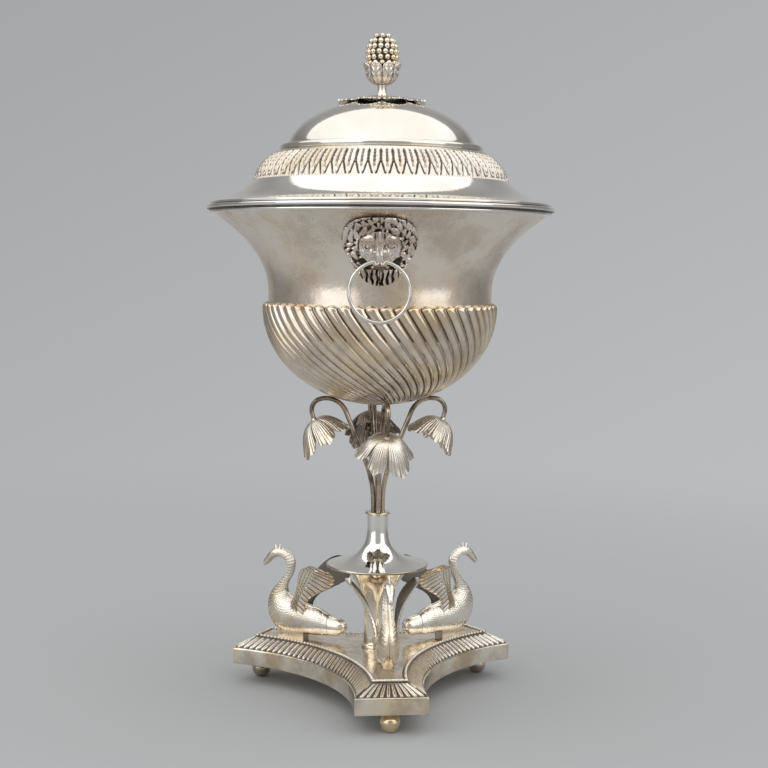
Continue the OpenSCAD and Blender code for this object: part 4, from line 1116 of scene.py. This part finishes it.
def make(name, shape, material, slot, body, *nodes, sharp=50):
    """A mesh object from a shape, with its faces outwards, its relief as an attribute
    and its crisp edges where faces meet at more than "sharp" degrees."""
    points, quads, tris, height = shape
    mesh = bpy.data.meshes.new(name)
    mesh.vertices.add(len(points))
    mesh.vertices.foreach_set("co", (points * MM).astype(np.float32).ravel())
    mesh.loops.add(quads.size + tris.size)
    mesh.loops.foreach_set("vertex_index", np.concatenate([quads.ravel(), tris.ravel()]).astype(np.int32))
    mesh.polygons.add(len(quads) + len(tris))
    starts = np.concatenate([4 * np.arange(len(quads)), quads.size + 3 * np.arange(len(tris))])
    mesh.polygons.foreach_set("loop_start", starts.astype(np.int32))
    mesh.update(calc_edges=True)
    edit = bmesh.new()
    edit.from_mesh(mesh)
    bmesh.ops.recalc_face_normals(edit, faces=edit.faces)
    edit.to_mesh(mesh)
    edit.free()
    mesh.attributes.new("relief", "FLOAT", "POINT").data.foreach_set("value", height.astype(np.float32))
    mesh.polygons.foreach_set("use_smooth", np.ones(len(mesh.polygons), bool))
    mesh.set_sharp_from_angle(angle=math.radians(sharp))
    mesh.materials.append(material)
    piece = bpy.data.objects.new(name, mesh)
    bpy.context.scene.collection.objects.link(piece)
    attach(piece, body)
    if nodes:
        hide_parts(*nodes)
    return piece


STAND = "stand_and_bowl"

make("base_tray", base_tray(), base_metal, "polished_silver", STAND, "base_shell", sharp=40)
make("base_border_leaves", border_leaves(), frosted, "chased_silver", STAND, "leaf_border")
make("column_tube", column(), warm, "polished_silver", STAND, "column")
make("round_plate", round_plate(), plate_metal, "polished_silver", STAND, "plate_disc")
make("trumpet_pedestal", pedestal(), polished, "polished_silver", STAND, "pedestal")
make("stem_collar", collar(), warm, "polished_silver", STAND, "pedestal_collar")
for side, degrees in ARM_DIRECTIONS.items():
    a = math.radians(degrees)
    foot_at = ((ARM_LENGTH - 6) * math.cos(a), (ARM_LENGTH - 6) * math.sin(a), 0)
    # The left and right feet take the dark stem metal as painted shade, since they stand in shadow under the
    # base.
    foot_metal = warm if side == "front" else stem_tarnish_and_foot_shade_metal
    make(f"ball_foot_{side}", turned_about_z(ball_foot(), 0, foot_at), foot_metal, "polished_silver", STAND,
         f"foot_{side}")
    swan_at = (SWAN_X * math.cos(a), SWAN_X * math.sin(a), SWAN_Z - 0.2)
    body = turned_about_z(swan_body(), degrees, swan_at)
    wings = turned_about_z(merge(swan_wing(-1), swan_wing(1)), degrees, swan_at)
    make(f"swan_body_{side}", body, swan_metal, "chased_silver", STAND, f"swan_{side}")
    make(f"swan_wings_{side}", wings, swan_metal, "chased_silver", STAND, f"swan_{side}_wings")
for side, degrees in STEM_DIRECTIONS.items():
    drop = FRONT_STEM_DROP if side == "front" else STEM_DROP
    # The back flower takes the darker metal as painted shade, since it hangs in shadow behind the stems.
    petal_metal = painted_shade_flower_metal if side == "back" else chased
    wire = turned_about_z(stem(drop), degrees)
    petals = turned_about_z(flower(drop), degrees)
    make(f"curved_stem_{side}", wire, stem_tarnish_and_foot_shade_metal, "satin_silver", STAND, f"stem_{side}")
    make(f"bell_flower_{side}", petals, petal_metal, "chased_silver", STAND, f"flower_{side}")
make("gadrooned_cup", gadrooned_cup(), gadroon, "satin_silver", STAND, "bowl_cup", sharp=80)
make("flared_bowl_wall", bowl_wall(), satin, "satin_silver", STAND, "bowl_neck")
make("beaded_rim", rim(), polished, "polished_silver", STAND, "rim_moulding")
for side, degrees in (("front", 0), ("back", 180)):
    mask = turned_about_z(lion_mask(), degrees)
    ring = turned_about_z(loose_ring(), degrees)
    make(f"lion_mask_{side}", mask, oxidised, "oxidised_silver", STAND, f"mask_{side}")
    make(f"loose_ring_{side}", ring, polished, "polished_silver", f"ring_{side}", f"ring_{side}")
make("lid_cove_and_dome", lid_sheet_metal(), polished, "polished_silver", "lid", "lid_cover", sharp=40)
make("lid_bezel_ring", bezel(), polished, "polished_silver", "lid", "lid_bezel")
make("lid_band_leaves", leaf_band(), frosted, "chased_silver", "lid", "lid_leaf_band", sharp=70)
make("lid_round_wire", lid_wire(), polished, "polished_silver", "lid", "lid_wire")
make("lid_rosette_leaves", rosette(), chased, "chased_silver", "lid", "lid_rosette")
make("calyx_leaves", calyx(), chased, "chased_silver", "lid", "finial_calyx", sharp=70)
make("berry_body", berry_core(), oxidised, "oxidised_silver", "lid", "finial_berry")
make("berry_pearls", berry_pearls(), warm, "oxidised_silver", "lid")

kept = {
    "swan_front_lug": lug_metal, "swan_left_lug": lug_metal, "swan_right_lug": lug_metal,
    "base_underplate": lug_metal, "stem_plug": lug_metal,
    "tie_rod": steel, "tie_washer": steel, "tie_nut": steel,
    "finial_stud": steel, "finial_washer": steel, "finial_nut": steel,
}
for name, material in kept.items():
    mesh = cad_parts[name].data
    mesh.materials.clear()
    mesh.materials.append(material)

# ---- floor, light and camera ----

BACKDROP_TINT = (0.98, 1.0, 1.02)


def fading_floor():
    """A large pale floor that fades into the backdrop with the distance from the bowl."""
    reach = 1.6
    mesh = bpy.data.meshes.new("floor")
    corner_points = [(x * reach, y * reach, 0) for x, y in ((-1, -1), (1, -1), (1, 1), (-1, 1))]
    mesh.from_pydata(corner_points, [], [(0, 1, 2, 3)])
    material = bpy.data.materials.new("pale_floor")
    material.use_nodes = True
    nodes, links = material.node_tree.nodes, material.node_tree.links
    shader = nodes["Principled BSDF"]
    shader.inputs["Base Color"].default_value = (0.455, 0.468, 0.474, 1)
    shader.inputs["Roughness"].default_value = 0.7
    shader.inputs["Specular IOR Level"].default_value = 0.1
    coordinates = nodes.new("ShaderNodeTexCoord")
    distance = nodes.new("ShaderNodeVectorMath")
    distance.operation = "LENGTH"
    links.new(coordinates.outputs["Object"], distance.inputs[0])
    fade = nodes.new("ShaderNodeMapRange")
    fade.interpolation_type = "SMOOTHSTEP"
    fade.inputs["From Min"].default_value = 0.12
    fade.inputs["From Max"].default_value = 0.75
    links.new(distance.outputs["Value"], fade.inputs["Value"])
    clear = nodes.new("ShaderNodeBsdfTransparent")
    mix = nodes.new("ShaderNodeMixShader")
    links.new(fade.outputs["Result"], mix.inputs["Fac"])
    links.new(shader.outputs[0], mix.inputs[1])
    links.new(clear.outputs[0], mix.inputs[2])
    links.new(mix.outputs[0], nodes["Material Output"].inputs["Surface"])
    mesh.materials.append(material)
    floor = bpy.data.objects.new("floor", mesh)
    bpy.context.scene.collection.objects.link(floor)


def softbox(name, place, size, brightness, colour=(1, 1, 1), target=(0, 0, 0.13)):
    """A rectangular lamp that faces the bowl. Its power is its brightness, as seen in a
    reflection, times its area and pi."""
    data = bpy.data.lights.new(name, "AREA")
    data.shape = "RECTANGLE"
    data.size, data.size_y = size
    data.energy = brightness * math.pi * size[0] * size[1]
    data.color = colour
    lamp = bpy.data.objects.new(name, data)
    lamp.location = place
    lamp.rotation_mode = "QUATERNION"
    lamp.rotation_quaternion = (Vector(target) - Vector(place)).to_track_quat("-Z", "Y")
    bpy.context.scene.collection.objects.link(lamp)


def grey_ramp(nodes, links, value, stops):
    """Greys along a value that runs from -1 to 1."""
    share = nodes.new("ShaderNodeMapRange")
    share.inputs["From Min"].default_value = -1
    links.new(value, share.inputs["Value"])
    ramp = nodes.new("ShaderNodeValToRGB")
    links.new(share.outputs["Result"], ramp.inputs["Fac"])
    for index, (at, grey) in enumerate(stops):
        place = (at + 1) / 2
        stop = ramp.color_ramp.elements[index] if index < 2 else ramp.color_ramp.elements.new(place)
        stop.position = place
        stop.color = (grey, grey, grey, 1)
    return ramp.outputs["Color"]


def room():
    """The surroundings: a soft grey where the eye looks past the bowl. In reflections
    and light there is a pale wall behind it, dim wings at its sides, a lighter room in
    front, and a pale ceiling and floor."""
    world = bpy.data.worlds.new("studio")
    bpy.context.scene.world = world
    world.use_nodes = True
    nodes, links = world.node_tree.nodes, world.node_tree.links
    backdrop = nodes["Background"]
    backdrop.inputs["Color"].default_value = (*BACKDROP_TINT, 1)
    coordinates = nodes.new("ShaderNodeTexCoord")
    parts = nodes.new("ShaderNodeSeparateXYZ")
    links.new(coordinates.outputs["Generated"], parts.inputs[0])
    across = nodes.new("ShaderNodeMath")
    across.operation = "MULTIPLY_ADD"
    links.new(parts.outputs["X"], across.inputs[0])
    across.inputs[1].default_value = 0.11
    across.inputs[2].default_value = 0.448
    upwards = nodes.new("ShaderNodeMath")
    upwards.operation = "MULTIPLY_ADD"
    links.new(parts.outputs["Z"], upwards.inputs[0])
    upwards.inputs[1].default_value = -0.22
    links.new(across.outputs[0], upwards.inputs[2])
    links.new(upwards.outputs[0], backdrop.inputs["Strength"])
    side_greys = (
        (-1.0, 0.40), (1.0, 0.46), (-0.6, 0.48), (-0.1, 0.39), (0.3, 0.24), (0.75, 0.22), (0.92, 0.42),
    )
    walls = grey_ramp(nodes, links, parts.outputs["Y"], side_greys)
    level_share = ((-1.0, 1.0), (1.0, 1.0), (-0.5, 0.85), (-0.12, 0.0), (0.35, 0.0), (0.75, 1.0))
    height = grey_ramp(nodes, links, parts.outputs["Z"], level_share)
    mix_colour = nodes.new("ShaderNodeMix")
    mix_colour.data_type = "RGBA"
    links.new(height, mix_colour.inputs["Factor"])
    links.new(walls, mix_colour.inputs[6])
    mix_colour.inputs[7].default_value = (0.42, 0.42, 0.42, 1)
    around = nodes.new("ShaderNodeBackground")
    links.new(mix_colour.outputs[2], around.inputs["Color"])
    rays = nodes.new("ShaderNodeLightPath")
    mix = nodes.new("ShaderNodeMixShader")
    links.new(rays.outputs["Is Camera Ray"], mix.inputs["Fac"])
    links.new(around.outputs[0], mix.inputs[1])
    links.new(backdrop.outputs[0], mix.inputs[2])
    links.new(mix.outputs[0], nodes["World Output"].inputs["Surface"])


fading_floor()
room()
softbox("overhead", (0.0, -0.19, 1.0), (3.8, 2.0), 0.84)
softbox("front_left", (-0.90, -0.90, 0.45), (1.2, 1.0), 0.78, (1.0, 0.99, 0.97))
softbox("front_right", (1.00, -0.75, 0.45), (1.0, 0.9), 0.7, (0.98, 0.99, 1.0))
bpy.context.scene.view_settings.view_transform = "Standard"

camera = bpy.data.cameras.new("camera")
camera.sensor_width = 36
camera.lens = 70.03125
camera.clip_start = 0.01
eye = bpy.data.objects.new("camera", camera)
eye.location = (0.002, -0.600, 0.1746)
eye.rotation_mode = "ZYX"
eye.rotation_euler = (math.radians(90 - 4.60), 0, math.radians(0.6))
bpy.context.scene.collection.objects.link(eye)
bpy.context.scene.camera = eye
